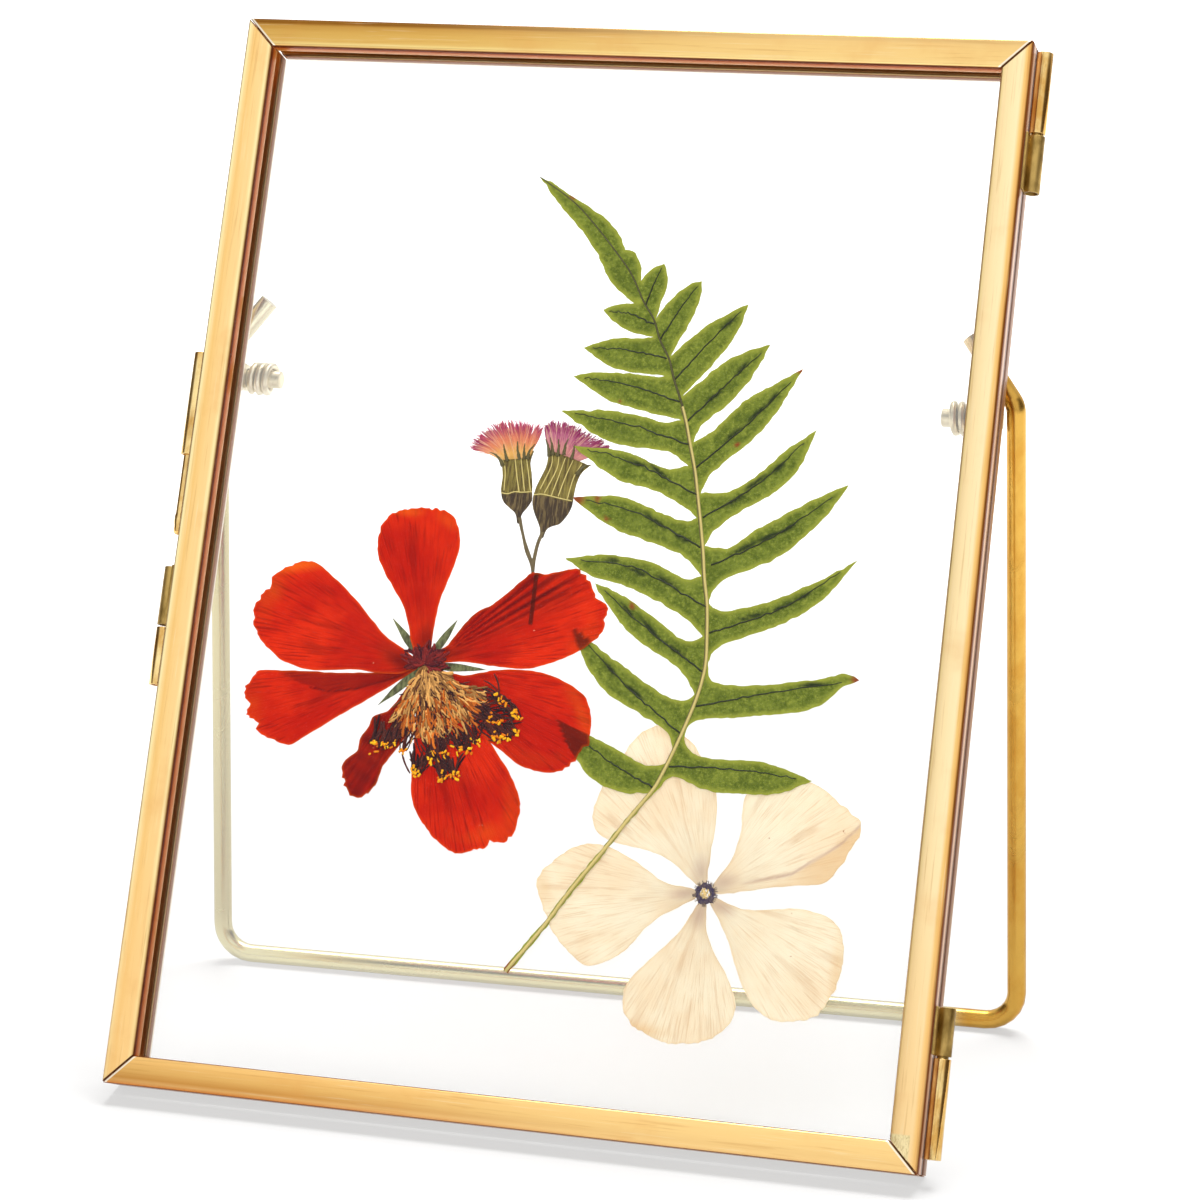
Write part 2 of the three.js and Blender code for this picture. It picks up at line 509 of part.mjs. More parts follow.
function stemSide(side) {
  return STEM.map(([x, y], i) => {
    const [before, after] = [STEM[Math.max(i - 1, 0)], STEM[Math.min(i + 1, STEM.length - 1)]];
    const [dx, dy] = [after[0] - before[0], after[1] - before[1]];
    const half = THREE.MathUtils.lerp(...STEM_WIDTH, i / (STEM.length - 1)) / 2;
    const offset = (side * half) / Math.hypot(dx, dy);
    return [x - dy * offset, y + dx * offset];
  });
}

const rightSide = [
  ...curved([FROND_TIP, ...TOP_LOBE.right], 1),
  ...bladeSide(TOP_LOBE.right.at(-1), RIGHT_LOBES), ...stemSide(1)];
const leftSide = [
  ...curved([FROND_TIP, ...TOP_LOBE.left], 1).slice(1),
  ...bladeSide(TOP_LOBE.left.at(-1), LEFT_LOBES), ...stemSide(-1)];
pressed('fern_frond', [...leftSide, ...rightSide.reverse()], LAYER.frond, FROND_GREEN);

// ---------------------------------------------------------------- tassel flowers

pressed('tassel_left_tuft', rounded([
  [-19.6, 109], [-17.1, 112.3], [-14.8, 113.6], [-12.5, 114.1], [-10.1, 113.9], [-7.7, 113],
  [-8.6, 110.4], [-9.2, 107.6], [-14, 107.6], [-16.6, 109],
]), LAYER.tuft, TUFT_PINK);
pressed('tassel_right_tuft', rounded([
  [-7.2, 113.2], [-5.3, 114.2], [-2.9, 113.8], [-0.4, 112.8], [2.1, 111.5], [4.2, 109.9],
  [1.6, 109], [-0.8, 107.8], [-4.6, 108], [-6.4, 110.2],
]), LAYER.tuft, TUFT_PINK);
pressed('tassel_left_cup', rounded([
  [-14.4, 109.6], [-9.2, 109.8], [-8.6, 104.6], [-8.2, 101.2], [-9.4, 98.9], [-10.4, 98.4],
  [-11.8, 98.9], [-13.2, 101.2], [-13.9, 105],
]), LAYER.backmost, CUP_OLIVE);
pressed('tassel_right_cup', rounded([
  [-5.6, 109.8], [0.4, 109], [-0.4, 105], [-1.6, 101], [-3.6, 97.6], [-5.2, 96.4],
  [-7, 97.2], [-7.8, 99.6], [-7.4, 103.4],
]), LAYER.backmost, CUP_OLIVE);

// One forked stalk. It keeps a hair's breadth clear of the two cups above it.
pressed('tassel_stalk', [
  [-9.9, 98], [-9.4, 96.4], [-8.8, 94.8], [-8, 92.5], [-6.8, 90.2], [-6.2, 85.5], [-5.9, 81.2],
  [-5.3, 81.2], [-5.5, 85.5], [-6, 89.8], [-5.9, 92.4], [-5.6, 94.3], [-5.1, 95.9], [-5.7, 95.9],
  [-6.2, 94.3], [-6.6, 91.3], [-7.4, 92.9], [-8.2, 94.6], [-8.8, 96.4], [-9.3, 98],
], LAYER.backmost, STALK_BROWN);

// ---------------------------------------------------------------- cream flower

const CREAM_CENTRE = [28.1, 39.9];
const CREAM_PETALS = {
  upper_left: [
    [27.7, 42.2], [28.3, 47], [28.2, 55.2], [25, 61.5], [21, 65], [16.4, 65.7], [14.4, 64.1],
    [12.3, 61.1], [9.6, 56], [8.3, 50.4], [9.4, 48], [12.4, 46.7], [16.6, 46.1],
    [20.8, 45], [23.5, 43.4], [26.2, 41.6]],
  upper_right: [
    [29.6, 41.6], [31.7, 45.7], [32.7, 50.5], [32.9, 56], [38, 59], [43.4, 58.9], [47.7, 56.1],
    [51.8, 52.7], [50.6, 49], [48.9, 45.7], [47.2, 43.5], [43.3, 42.6], [37.5, 41.6],
    [33.5, 40.6], [30.3, 40.2]],
  right: [
    [30.2, 39.1], [33.8, 38.1], [37.9, 38.2], [43.2, 38.9], [49, 37.5], [50.7, 34.9],
    [51.1, 29.9], [49.3, 24.8], [47.5, 22.4], [40.9, 21.3], [37.4, 23.6], [35.1, 27.1],
    [32.9, 32.1], [30.9, 35.8], [29.4, 38]],
  bottom: [
    [27, 37.6], [24.9, 34], [22.5, 31.1], [18.9, 27.1], [17, 24.5], [16.8, 21.5],
    [17.9, 18.8], [20.9, 17.2], [24.3, 16], [30.2, 16.9], [33.9, 19.3], [35, 22.5],
    [33.5, 26.6], [30.7, 30.6], [28.9, 34.4], [28.4, 37.6]],
  left: [
    [25.8, 40.3], [21.3, 41.1], [16.9, 43.6], [12.5, 45.6], [9.6, 46.1], [6.4, 45.5],
    [0.4, 39.8], [0.9, 37.3], [3.5, 32.4], [6.5, 29.1], [9.5, 27], [11.5, 27],
    [16.1, 29.7], [18.9, 33.4], [21.9, 36.1], [25.9, 38.8]],
};
for (const [where, outline] of Object.entries(CREAM_PETALS)) {
  pressed(`cream_petal_${where}`, rounded(outline), LAYER.backmost, PETAL_CREAM);
}
const eye = new THREE.CylinderGeometry(2.1, 2.1, LAYER.tuft[1], 20).rotateX(Math.PI / 2);
eye.translate(CREAM_CENTRE[0], CREAM_CENTRE[1], LAYER.tuft[0] - LAYER.tuft[1] / 2);
piece('cream_eye', eye, EYE_NAVY);

export default part;
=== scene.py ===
# %% [markdown]
# # A pressed flower frame
# Two glazed brass leaves close like a book over a few pressed plants, and a sprung wire stand
# props them up. The measured CAD frame comes in first. Everything made here is built around it,
# in metres, with each finished piece in its true place.

# %% Load the measured frame
import math
import random
from contextlib import contextmanager

import bpy
import numpy as np
from mathutils import Matrix, Vector


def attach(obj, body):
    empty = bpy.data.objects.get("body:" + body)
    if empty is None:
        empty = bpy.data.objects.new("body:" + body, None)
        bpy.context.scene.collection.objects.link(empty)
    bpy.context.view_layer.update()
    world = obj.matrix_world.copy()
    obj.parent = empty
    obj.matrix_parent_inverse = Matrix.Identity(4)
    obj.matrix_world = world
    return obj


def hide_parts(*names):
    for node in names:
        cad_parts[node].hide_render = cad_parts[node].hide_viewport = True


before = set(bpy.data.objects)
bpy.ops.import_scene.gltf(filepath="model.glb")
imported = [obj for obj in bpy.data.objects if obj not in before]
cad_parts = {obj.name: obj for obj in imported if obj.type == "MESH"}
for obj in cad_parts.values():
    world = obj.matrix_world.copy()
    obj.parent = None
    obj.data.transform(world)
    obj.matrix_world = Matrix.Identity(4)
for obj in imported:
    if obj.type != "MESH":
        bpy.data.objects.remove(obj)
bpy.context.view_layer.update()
print("CAD nodes:", len(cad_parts))

# %% [markdown]
# ## A flat drawing board that leans back
# Every plant and every rail is easiest to draw on the leaf as if it stood upright: x to the
# right, y up the leaf, z out of its front face, all in millimetres. One matrix then leans the
# drawing back and turns it into metres.

# %% The leaf's own coordinates
# A leaf's outside size in millimetres, how far it leans, and how wide a rail's face is.
HEIGHT, DEPTH, WIDTH = 180, 7.6, 134
LEAN = math.radians(27.5)
FACE = 4.8

middle = (HEIGHT * math.sin(LEAN) - DEPTH * math.cos(LEAN)) / 2
leaf_origin = Vector((0, -middle - DEPTH * math.cos(LEAN), DEPTH * math.sin(LEAN))) / 1000
LEAF = (Matrix.Translation(leaf_origin) @ Matrix.Rotation(math.pi / 2 - LEAN, 4, "X")
        @ Matrix.Scale(0.001, 4))
print("leaf origin in metres:", tuple(round(c, 5) for c in leaf_origin))

# %% [markdown]
# ## The camera
# A long lens a little to the right of the frame and above it, so the frame's right side and the
# top of its bottom rail both show. It could be pushed into place by hand, but three angles and
# the distance from the point that it looks at can be read back and changed one at a time.

# %% Place the camera
AZIMUTH, ELEVATION, ROLL = math.radians(16.741), math.radians(17.141), math.radians(-0.921)
LOOK_AT, DISTANCE = Vector((0.00483, 0, 0.07669)), 0.59698

camera_data = bpy.data.cameras.new("camera")
camera = bpy.data.objects.new("camera", camera_data)
bpy.context.scene.collection.objects.link(camera)
camera_turn = (Matrix.Rotation(AZIMUTH, 4, "Z") @ Matrix.Rotation(math.pi / 2 - ELEVATION, 4, "X")
               @ Matrix.Rotation(ROLL, 4, "Z"))
camera.matrix_world = (Matrix.Translation(LOOK_AT) @ camera_turn
                       @ Matrix.Translation((0, 0, DISTANCE)))
camera_data.lens, camera_data.sensor_width = 111.0, 36
camera_data.clip_start, camera_data.clip_end = 0.01, 30
bpy.context.scene.camera = camera
print("camera at", tuple(round(c, 3) for c in camera.location))

# %% [markdown]
# ## A small kit for materials
# Each finish is a graph of nodes. Such a graph could be wired by hand in the shader editor. This
# helper adds a node, sets it up and joins it to the others in one line instead, so that a finish
# reads like a recipe from its first ingredient to its last.


# %% Node helper
def rgb(red, green, blue):
    """A screen colour from 0 to 255, as the linear colour that a shader works with."""
    return tuple(((c / 255 + 0.055) / 1.055) ** 2.4 if c > 10 else c / 255 / 12.92
                 for c in (red, green, blue)) + (1,)


class Finish:
    """One material, or the room's light, under construction."""

    def __init__(self, name, room=None):
        self.material = room or bpy.data.materials.new(name)
        self.material.use_nodes = True
        self.tree = self.material.node_tree
        self.tree.nodes.clear()
        kind = "ShaderNodeOutputWorld" if room else "ShaderNodeOutputMaterial"
        self.end = self.tree.nodes.new(kind)

    def put(self, socket, value):
        if isinstance(value, bpy.types.NodeSocket):
            self.tree.links.new(value, socket)
        elif value is not None:
            socket.default_value = value

    def add(self, kind, *values, named=None, **settings):
        made = self.tree.nodes.new("ShaderNode" + kind)
        for key, value in settings.items():
            setattr(made, key, value)
        for socket, value in zip(made.inputs, values):
            self.put(socket, value)
        for key, value in (named or {}).items():
            self.put(made.inputs[key], value)
        return made

    def calc(self, operation, *values):
        return self.add("Math", *values, operation=operation).outputs[0]

    def times(self, first, second):
        return self.calc("MULTIPLY", first, second)

    def rest(self, value):
        """What value leaves of 1."""
        return self.calc("SUBTRACT", 1.0, value)

    def mix(self, factor, first, second):
        made = self.add("Mix", data_type="RGBA")
        for socket, value in ((0, factor), (6, first), (7, second)):
            self.put(made.inputs[socket], value)
        return made.outputs[2]

    def tint(self, colour, target, mask, amount):
        """Moves a colour towards another by an amount, where the mask is."""
        return self.mix(self.times(mask, amount), colour, target)

    def band(self, value, low, high):
        """0 below low, 1 above high, and a smooth step between them."""
        made = self.add("MapRange", value, low, high, 0.0, 1.0, interpolation_type="SMOOTHSTEP")
        return made.outputs[0]

    def ramp(self, value, stops, length=1.0):
        """Colours along a length, from (place, colour) stops."""
        made = self.add("ValToRGB", self.calc("DIVIDE", value, length))
        while len(made.color_ramp.elements) < len(stops):
            made.color_ramp.elements.new(1.0)
        for element, (place, colour) in zip(made.color_ramp.elements, stops):
            element.position, element.color = place / length, colour
        return made.outputs[0]

    def noise(self, where, scale, detail=3.0, roughness=0.5, distortion=0.0):
        return self.add("TexNoise", named={
            "Vector": where, "Scale": scale, "Detail": detail, "Roughness": roughness,
            "Distortion": distortion}).outputs["Fac"]

    def attribute(self, name):
        return self.add("Attribute", attribute_name=name).outputs["Fac"]

    def leaf(self, scale=(1, 1, 1)):
        """Millimetres on the leaf's drawing board, stretched by scale."""
        place = self.add("TexCoord").outputs["Object"]
        board = self.add("Mapping", place, leaf_origin, (math.pi / 2 - LEAN, 0, 0),
                         (0.001, 0.001, 0.001), vector_type="TEXTURE").outputs[0]
        return self.add("Mapping", board, (0, 0, 0), (0, 0, 0), scale).outputs[0]

    def uv(self, name, scale=(1, 1, 1)):
        sheet = self.add("UVMap", uv_map=name).outputs[0]
        return self.add("Mapping", sheet, (0, 0, 0), (0, 0, 0), scale).outputs[0]

    def bump(self, height, distance, strength=1.0):
        return self.add("Bump", named={
            "Strength": strength, "Distance": distance, "Height": height}).outputs[0]

    def principled(self, **sockets):
        names = {key.replace("_", " "): value for key, value in sockets.items()}
        return self.add("BsdfPrincipled", named=names).outputs[0]

    def done(self, surface):
        self.tree.links.new(surface, self.end.inputs["Surface"])
        return self.material

    def film(self, colour, through, **sockets):
        """A dried film that lets a share of the light through."""
        skin = self.principled(Base_Color=colour, **sockets)
        glow = self.add("BsdfTranslucent", colour).outputs[0]
        return self.done(self.add("MixShader", through, skin, glow).outputs[0])


print("material kit ready")

# %% [markdown]
# ## Floor and light
# The frame stands on a seamless white sweep. Polished brass shows whatever stands around it, so
# the room is a broad white screen in front, with darker sides that put dark flanks on the tubes.
# A soft box above and behind lays a short soft shadow on the floor in front of each bar. A fill
# light that the brass can't mirror brings out the plants. A picture of a studio could light the
# scene too, but a few numbers are easier to understand and to change.

# %% Floor, room and soft boxes
bpy.context.scene.view_settings.view_transform = "Standard"
bpy.ops.mesh.primitive_plane_add(size=14, location=(0, 0, 0))
floor = bpy.context.object
floor.name = "studio_floor"
made = Finish("studio_floor_white")
matt = made.add("BsdfDiffuse", (0.62, 0.62, 0.62, 1)).outputs[0]
# The sweep glows a little, and less close to the frame, where its shadow must show.
from_frame = made.add(
    "VectorMath", made.add("TexCoord").outputs["Object"], operation="LENGTH").outputs[1]
glow_level = made.calc("MULTIPLY_ADD", made.band(from_frame, 0.1, 0.4), 0.65, 0.06)
glow = made.add("Emission", (1, 1, 1, 1), glow_level).outputs[0]
floor.data.materials.append(made.done(made.add("AddShader", matt, glow).outputs[0]))

room = bpy.data.worlds.new("studio_room")
bpy.context.scene.world = room
made = Finish("studio_room", room)
side, depth, height = made.add("SeparateXYZ", made.add("TexCoord").outputs["Generated"]).outputs
in_front = made.rest(made.band(made.calc("ABSOLUTE", side), 0.6, 0.9))
reach = made.times(made.band(height, 0.0, 0.12), in_front)
DARK_SIDES, WHITE_SCREEN = (0.14, 0.11, 0.08, 1), (1.06, 1.05, 1.04, 1)
screen = made.mix(reach, DARK_SIDES, WHITE_SCREEN)
made.done(made.add("Background", screen, 1.0).outputs[0])


def soft_box(name, toward, distance, width, height, brightness, target=(0, 0, 0.08)):
    """A rectangular light that faces the frame, with its brightness as a mirror would show it."""
    light = bpy.data.lights.new(name, "AREA")
    light.shape, light.size, light.size_y = "RECTANGLE", width, height
    light.energy = brightness * math.pi * width * height
    lamp = bpy.data.objects.new(name, light)
    bpy.context.scene.collection.objects.link(lamp)
    away = Vector(toward).normalized()
    lamp.location = Vector(target) + away * distance
    lamp.rotation_euler = away.to_track_quat("Z", "Y").to_euler()
    return lamp


soft_box("back_box", (0.05, 0.42, 1), 1.5, 1.1, 0.7, 8.6)
fill = soft_box("fill_box", (-0.25, -0.8, 0.75), 1.4, 1.2, 0.9, 1.22)
fill.visible_glossy = False
print("lights ready")

# %% [markdown]
# ## Brass strip
# The rails are satin brass strip, folded round the glass. Their faces are pale gold, with painted
# reflections on them: pale highlights along both folds and a thin dark line at the outer arris.
# The walls that look into the opening run from dark brown to orange brown, with painted shade in
# the channel and painted highlights at its edges. Each colour depends on how far a point is from
# the rail's outer edge, or how deep it is below the face. A single metal colour would leave this
# to the reflections alone, and the folds would be lost.

# %% Colours across a rail, in millimetres from its outer edge
# Painted reflections: pale highlight bands near the folds, dark lines at the outer arris.
LEFT_STILE = [(0.0, rgb(222, 180, 120)), (0.45, rgb(254, 240, 182)), (0.9, rgb(251, 219, 152)),
              (1.5, rgb(246, 202, 126)), (2.6, rgb(251, 212, 143)), (3.8, rgb(251, 214, 148)),
              (4.3, rgb(253, 236, 174)), (4.8, rgb(205, 155, 90))]
RIGHT_STILE = [(0.0, rgb(100, 60, 24)), (0.2, rgb(150, 96, 40)), (0.45, rgb(232, 176, 100)),
               (0.85, rgb(246, 204, 126)), (1.4, rgb(255, 234, 184)), (2.6, rgb(255, 231, 178)),
               (4.0, rgb(255, 228, 172)), (4.5, rgb(254, 228, 160)), (4.8, rgb(238, 190, 116))]
TOP_RAIL = [(0.0, rgb(112, 72, 34)), (0.4, rgb(150, 102, 40)), (0.7, rgb(146, 94, 30)),
            (1.2, rgb(204, 154, 74)), (2.2, rgb(220, 175, 90)), (3.8, rgb(230, 188, 104)),
            (4.25, rgb(248, 220, 142)), (4.8, rgb(170, 122, 66))]
BOTTOM_RAIL = [(0.0, rgb(188, 96, 34)), (0.35, rgb(222, 155, 85)), (0.7, rgb(226, 174, 104)),
               (1.2, rgb(208, 150, 76)), (2.4, rgb(231, 181, 103)), (3.6, rgb(241, 191, 113)),
               (4.25, rgb(250, 202, 124)), (4.8, rgb(232, 188, 120))]
# Colours down the two kinds of wall, in millimetres below the face. On the walls into the opening
# the dark bands are painted shade in the channel and the pale bands are painted highlights. The
# stripes on the outer walls are painted reflections.
SIGHT_WALL = [(0.0, rgb(96, 44, 14)), (0.7, rgb(66, 24, 6)), (1.3, rgb(150, 68, 14)),
              (2.1, rgb(164, 96, 34)), (2.7, rgb(178, 126, 70)), (2.95, rgb(90, 44, 14)),
              (5.0, rgb(104, 54, 20)), (6.0, rgb(116, 66, 28)), (6.9, rgb(126, 80, 42)),
              (7.3, rgb(232, 222, 204)), (7.6, rgb(245, 238, 225))]
OUTER_WALL = [(0.0, rgb(112, 60, 20)), (0.9, rgb(92, 48, 18)), (1.7, rgb(176, 138, 112)),
              (2.6, rgb(204, 172, 146)), (3.2, rgb(112, 62, 30)), (4.0, rgb(50, 26, 12)),
              (5.2, rgb(104, 62, 32)), (6.6, rgb(140, 100, 66)), (7.6, rgb(160, 122, 88))]


# %% The face of a rail
def from_outside(made, x, y):
    """How far a point is in from the leaf's sides, from its ends, and from the nearer edge."""
    from_side = made.calc("SUBTRACT", WIDTH / 2, made.calc("ABSOLUTE", x))
    from_end = made.calc("MINIMUM", y, made.calc("SUBTRACT", HEIGHT, y))
    return from_side, from_end, made.calc("MINIMUM", from_side, from_end)


def rail_face(made, x, y, place, streaks, face_colours, paler_right, filed):
    """The polished face, its painted reflections, mitre seams and, on one stile, a filed corner."""
    from_side, from_end, across = place
    clouds = made.noise(made.leaf((0.07, 0.07, 0.07)), 1.0, 4.0, 0.6)
    wobble = made.calc("MULTIPLY_ADD", made.calc("SUBTRACT", streaks, 0.5), 0.35, across)
    face = made.ramp(wobble, face_colours, FACE)
    # Painted reflection: the cross rails' faces are painted paler towards the right.
    if paler_right:
        face = made.tint(face, rgb(255, 220, 150), made.band(x, -45.0, 35.0), paler_right)
    else:
        # Both stiles are a little more orange towards their lower ends.
        face = made.tint(face, rgb(252, 204, 132), made.rest(made.band(y, 8.0, 60.0)), 0.5)
    face = made.tint(face, rgb(226, 160, 84), made.band(clouds, 0.5, 0.75), 0.3)
    face = made.tint(face, rgb(255, 240, 200), made.band(streaks, 0.56, 0.72), 0.3)
    face = made.tint(face, rgb(196, 140, 66), made.band(streaks, 0.46, 0.3), 0.3)
    # The mitre is a dark soldered seam with a painted highlight on the cross rail's side.
    beyond = made.calc("SUBTRACT", from_side, from_end)
    cream = made.times(made.band(beyond, 0.24, 0.32), made.rest(made.band(beyond, 0.6, 0.75)))
    face = made.tint(face, rgb(255, 246, 226), cream, 0.85)
    seam = made.rest(made.band(made.calc("ABSOLUTE", beyond), 0.2, 0.34))
    face = made.tint(face, rgb(60, 34, 20), seam, 0.9)
    if filed:
        corner = made.times(made.rest(made.band(y, 5.6, 6.0)), made.rest(made.band(x, 65.2, 65.5)))
        scratches = made.noise(made.leaf((1.2, 0.4, 1)), 2.0, 4.0, 0.7, 1.5)
        filing = made.mix(made.band(scratches, 0.4, 0.7), rgb(250, 232, 180), rgb(206, 182, 124))
        face = made.mix(corner, face, filing)
    return face


print("a rail's face is", FACE, "mm wide")


# %% The whole rail
def rail_brass(name, face_colours, streak, paler_right=0.0, filed=False):
    """The face and the two kinds of wall, each where it belongs on the folded strip."""
    made = Finish(name)
    x, y, z = made.add("SeparateXYZ", made.leaf()).outputs
    place = from_outside(made, x, y)
    depth = made.times(z, -1.0)
    streaks = made.noise(made.leaf(streak), 1.0, 4.0, 0.6)
    face = rail_face(made, x, y, place, streaks, face_colours, paler_right, filed)
    outer = made.rest(made.band(place[2], 0.12, 0.3))
    # The walls' colours carry their painted shade, highlights and reflections.
    wall = made.mix(outer, made.ramp(depth, SIGHT_WALL, DEPTH), made.ramp(depth, OUTER_WALL, DEPTH))
    wall = made.tint(wall, rgb(150, 80, 30), made.band(streaks, 0.45, 0.75), 0.3)
    # The faces that meet when the leaves close are plain brass, as the front and back are.
    facing = made.add("VectorMath", made.add("TexCoord").outputs["Normal"],
                      tuple(LEAF.to_3x3().normalized().col[2]), operation="DOT_PRODUCT").outputs[1]
    upright = made.rest(made.band(made.calc("ABSOLUTE", facing), 0.8, 0.95))
    below = made.times(made.band(depth, 0.08, 0.25), made.rest(made.band(depth, 7.35, 7.5)))
    below = made.times(below, upright)
    colour = made.mix(below, face, wall)
    rough = made.calc("ADD", 0.24, made.times(streaks, 0.14))
    # The walls are tarnished, so they scatter light more than they mirror it. A trace of glow
    # stands for the light that the panes carry into the channel. It is too faint to be worth
    # aiming rays at, so the rails are no lamps to the renderer.
    metal = made.rest(made.times(below, 0.75))
    made.material.cycles.emission_sampling = "NONE"
    return made.done(made.principled(Base_Color=colour, Metallic=metal, Roughness=rough,
                                     Specular_IOR_Level=0.05, Emission_Color=colour,
                                     Emission_Strength=made.times(below, 0.32),
                                     Normal=made.bump(streaks, 0.00002, 0.3)))


ALONG_STILE, ALONG_CROSS = (2.2, 0.06, 2.2), (0.06, 2.2, 2.2)
RAILS = {
    "left_stile": rail_brass("left_stile_brass", LEFT_STILE, ALONG_STILE),
    "right_stile": rail_brass("right_stile_brass", RIGHT_STILE, ALONG_STILE, filed=True),
    "top_rail": rail_brass("top_rail_brass", TOP_RAIL, ALONG_CROSS, 0.7),
    "bottom_rail": rail_brass("bottom_rail_brass", BOTTOM_RAIL, ALONG_CROSS, 0.7),
}
print("rail finishes:", ", ".join(RAILS))

# %% [markdown]
# ## Brass tube and wire
# The clasp and the back hinge tubes are polished, the front knuckles and pins have aged, the wire
# is drawn brass, and what stands behind the glass is painted paler and greyer, as a painted veil
# of light from the glass. They could be four separate graphs. One function makes them all,
# because they differ only in colours, streaks and shine.


# %% Tubes, pins and wire
def brass(name, pale, deep, streak, roughness, patch, hidden=None):
    """Brass with darker streaks, and on the wire behind glass a painted pale veil of light."""
    made = Finish(name)
    streaks = made.noise(made.leaf(streak), 1.0, 4.0, 0.6)
    clouds = made.noise(made.leaf((0.25, 0.12, 0.25)), 1.0, 4.0, 0.65)
    colour = made.mix(made.band(clouds, 0.35, 0.65), deep, pale)
    colour = made.tint(colour, rgb(96, 62, 26), made.band(streaks, 0.5, 0.75), patch)
    if hidden:
        # The leg beside the frame keeps the bright colour. The foot bar, the legs and the cranked
        # tails behind the glass are each painted paler and greyer in their own way, as a painted
        # veil of light from the glass.
        foot, leg, tail = hidden
        x, y, z = made.add("SeparateXYZ", made.leaf()).outputs
        veiled = made.mix(made.band(y, 24.0, 34.0), foot, leg)
        veiled = made.mix(made.band(y, 118.0, 124.0), veiled, tail)
        colour = made.mix(made.band(x, 56.0, 63.0), veiled, colour)
    rough = made.calc("ADD", roughness, made.times(streaks, 0.12))
    return made.done(made.principled(Base_Color=colour, Metallic=1.0, Roughness=rough,
                                     Normal=made.bump(streaks, 0.00002, 0.35)))


AGED = brass("aged_brass", rgb(196, 164, 96), rgb(132, 106, 54), (0.9, 0.4, 0.9), 0.34, 0.45)
TUBE = brass("polished_brass_tube", rgb(252, 226, 160), rgb(214, 166, 88), (1.4, 0.1, 1.4),
             0.08, 0.4)
WIRE = brass("stand_wire_brass", rgb(206, 162, 76), rgb(196, 146, 62), (0.06, 0.05, 0.6),
             0.2, 0.15, (rgb(226, 218, 172), rgb(192, 180, 136), rgb(236, 226, 194)))
# Painted veil of light: the pivot parts behind the glass are painted pale and grey.
VEILED = brass("glass_veiled_brass", rgb(238, 228, 202), rgb(214, 202, 170), (0.9, 0.4, 0.9), 0.3, 0.3)
print("tube and wire finishes:", ", ".join(m.name for m in (AGED, TUBE, WIRE, VEILED)))

# %% [markdown]
# ## Carrying the brass parts over
# The CAD rails and tubes have the right size but perfectly sharp arrises. They could be shown as
# they are, or drawn again. Each is copied instead, which keeps its size, its loose triangles are
# merged, and a tiny bevel is rolled along every sharp edge, so that edges catch the light as
# folded sheet does. The copy stands in for its CAD node.


# %% Selecting, applying and editing
def only(piece):
    """Makes piece the one selected object."""
    bpy.ops.object.select_all(action="DESELECT")
    piece.select_set(True)
    bpy.context.view_layer.objects.active = piece


def apply(piece, kind, **settings):
    """Adds a modifier and makes its result the piece's own mesh."""
    modifier = piece.modifiers.new(kind.lower(), kind)
    for key, value in settings.items():
        setattr(modifier, key, value)
    only(piece)
    bpy.ops.object.modifier_apply(modifier=modifier.name)


@contextmanager
def editing(piece):
    """Edit mode on one piece, with all of it selected."""
    only(piece)
    bpy.ops.object.mode_set(mode="EDIT")
    bpy.ops.mesh.select_all(action="SELECT")
    yield
    bpy.ops.object.mode_set(mode="OBJECT")


def stand_in(piece, node, body):
    """Rides with a body, in place of a CAD node."""
    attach(piece, body)
    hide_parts(node)


print("mesh tools ready")


# %% Bevelled copies
def merged_copy(node, name):
    """A copy of a CAD node's mesh with its loose triangles joined into whole faces."""
    copy = bpy.data.objects.new(name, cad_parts[node].data.copy())
    bpy.context.scene.collection.objects.link(copy)
    copy.data.materials.clear()
    with editing(copy):
        bpy.ops.mesh.remove_doubles(threshold=0.000003)
        bpy.ops.mesh.dissolve_limited(angle_limit=math.radians(1))
    return copy


def brass_piece(node, body, material, edge):
    """A finished copy of a brass node, with edges rounded by a bevel of width edge in metres."""
    piece = merged_copy(node, node + "_finished")
    piece.data.materials.append(material)
    apply(piece, "BEVEL", width=edge, segments=2, limit_method="ANGLE",
          angle_limit=math.radians(35), harden_normals=False)
    only(piece)
    bpy.ops.object.shade_smooth_by_angle(angle=math.radians(40))
    # Brass would throw an orange glow on the white floor.
    piece.visible_diffuse = False
    stand_in(piece, node, body)
    return piece


print("bevel tools ready")


# %% Rails, tubes, pins and springs
for leaf in ("front", "back"):
    for rail, material in RAILS.items():
        brass_piece(f"{leaf}_{rail}", f"{leaf}_leaf", material, 0.00012)

BACK_TUBES = ("top_hinge_back_knuckle", "bottom_hinge_back_knuckle", "clasp_guide",
              "clasp_back_keeper")
FRONT_TUBES = ("top_hinge_front_knuckle", "bottom_hinge_front_knuckle", "clasp_front_keeper")
for node in BACK_TUBES:
    brass_piece(node, "back_leaf", TUBE, 0.00008)
for node in FRONT_TUBES:
    brass_piece(node, "front_leaf", AGED, 0.00008)
for node in ("top_hinge_pin", "bottom_hinge_pin"):
    brass_piece(node, "back_leaf", AGED, 0.0001)
brass_piece("clasp_bolt", "clasp_bolt", TUBE, 0.0001)
for side in ("left", "right"):
    brass_piece(f"pivot_sleeve_{side}", "back_leaf", VEILED, 0.0001)
    brass_piece(f"pivot_pin_{side}", "stand", VEILED, 0.00015)
    brass_piece(f"pivot_spring_{side}", "back_leaf", VEILED, 0.0001)

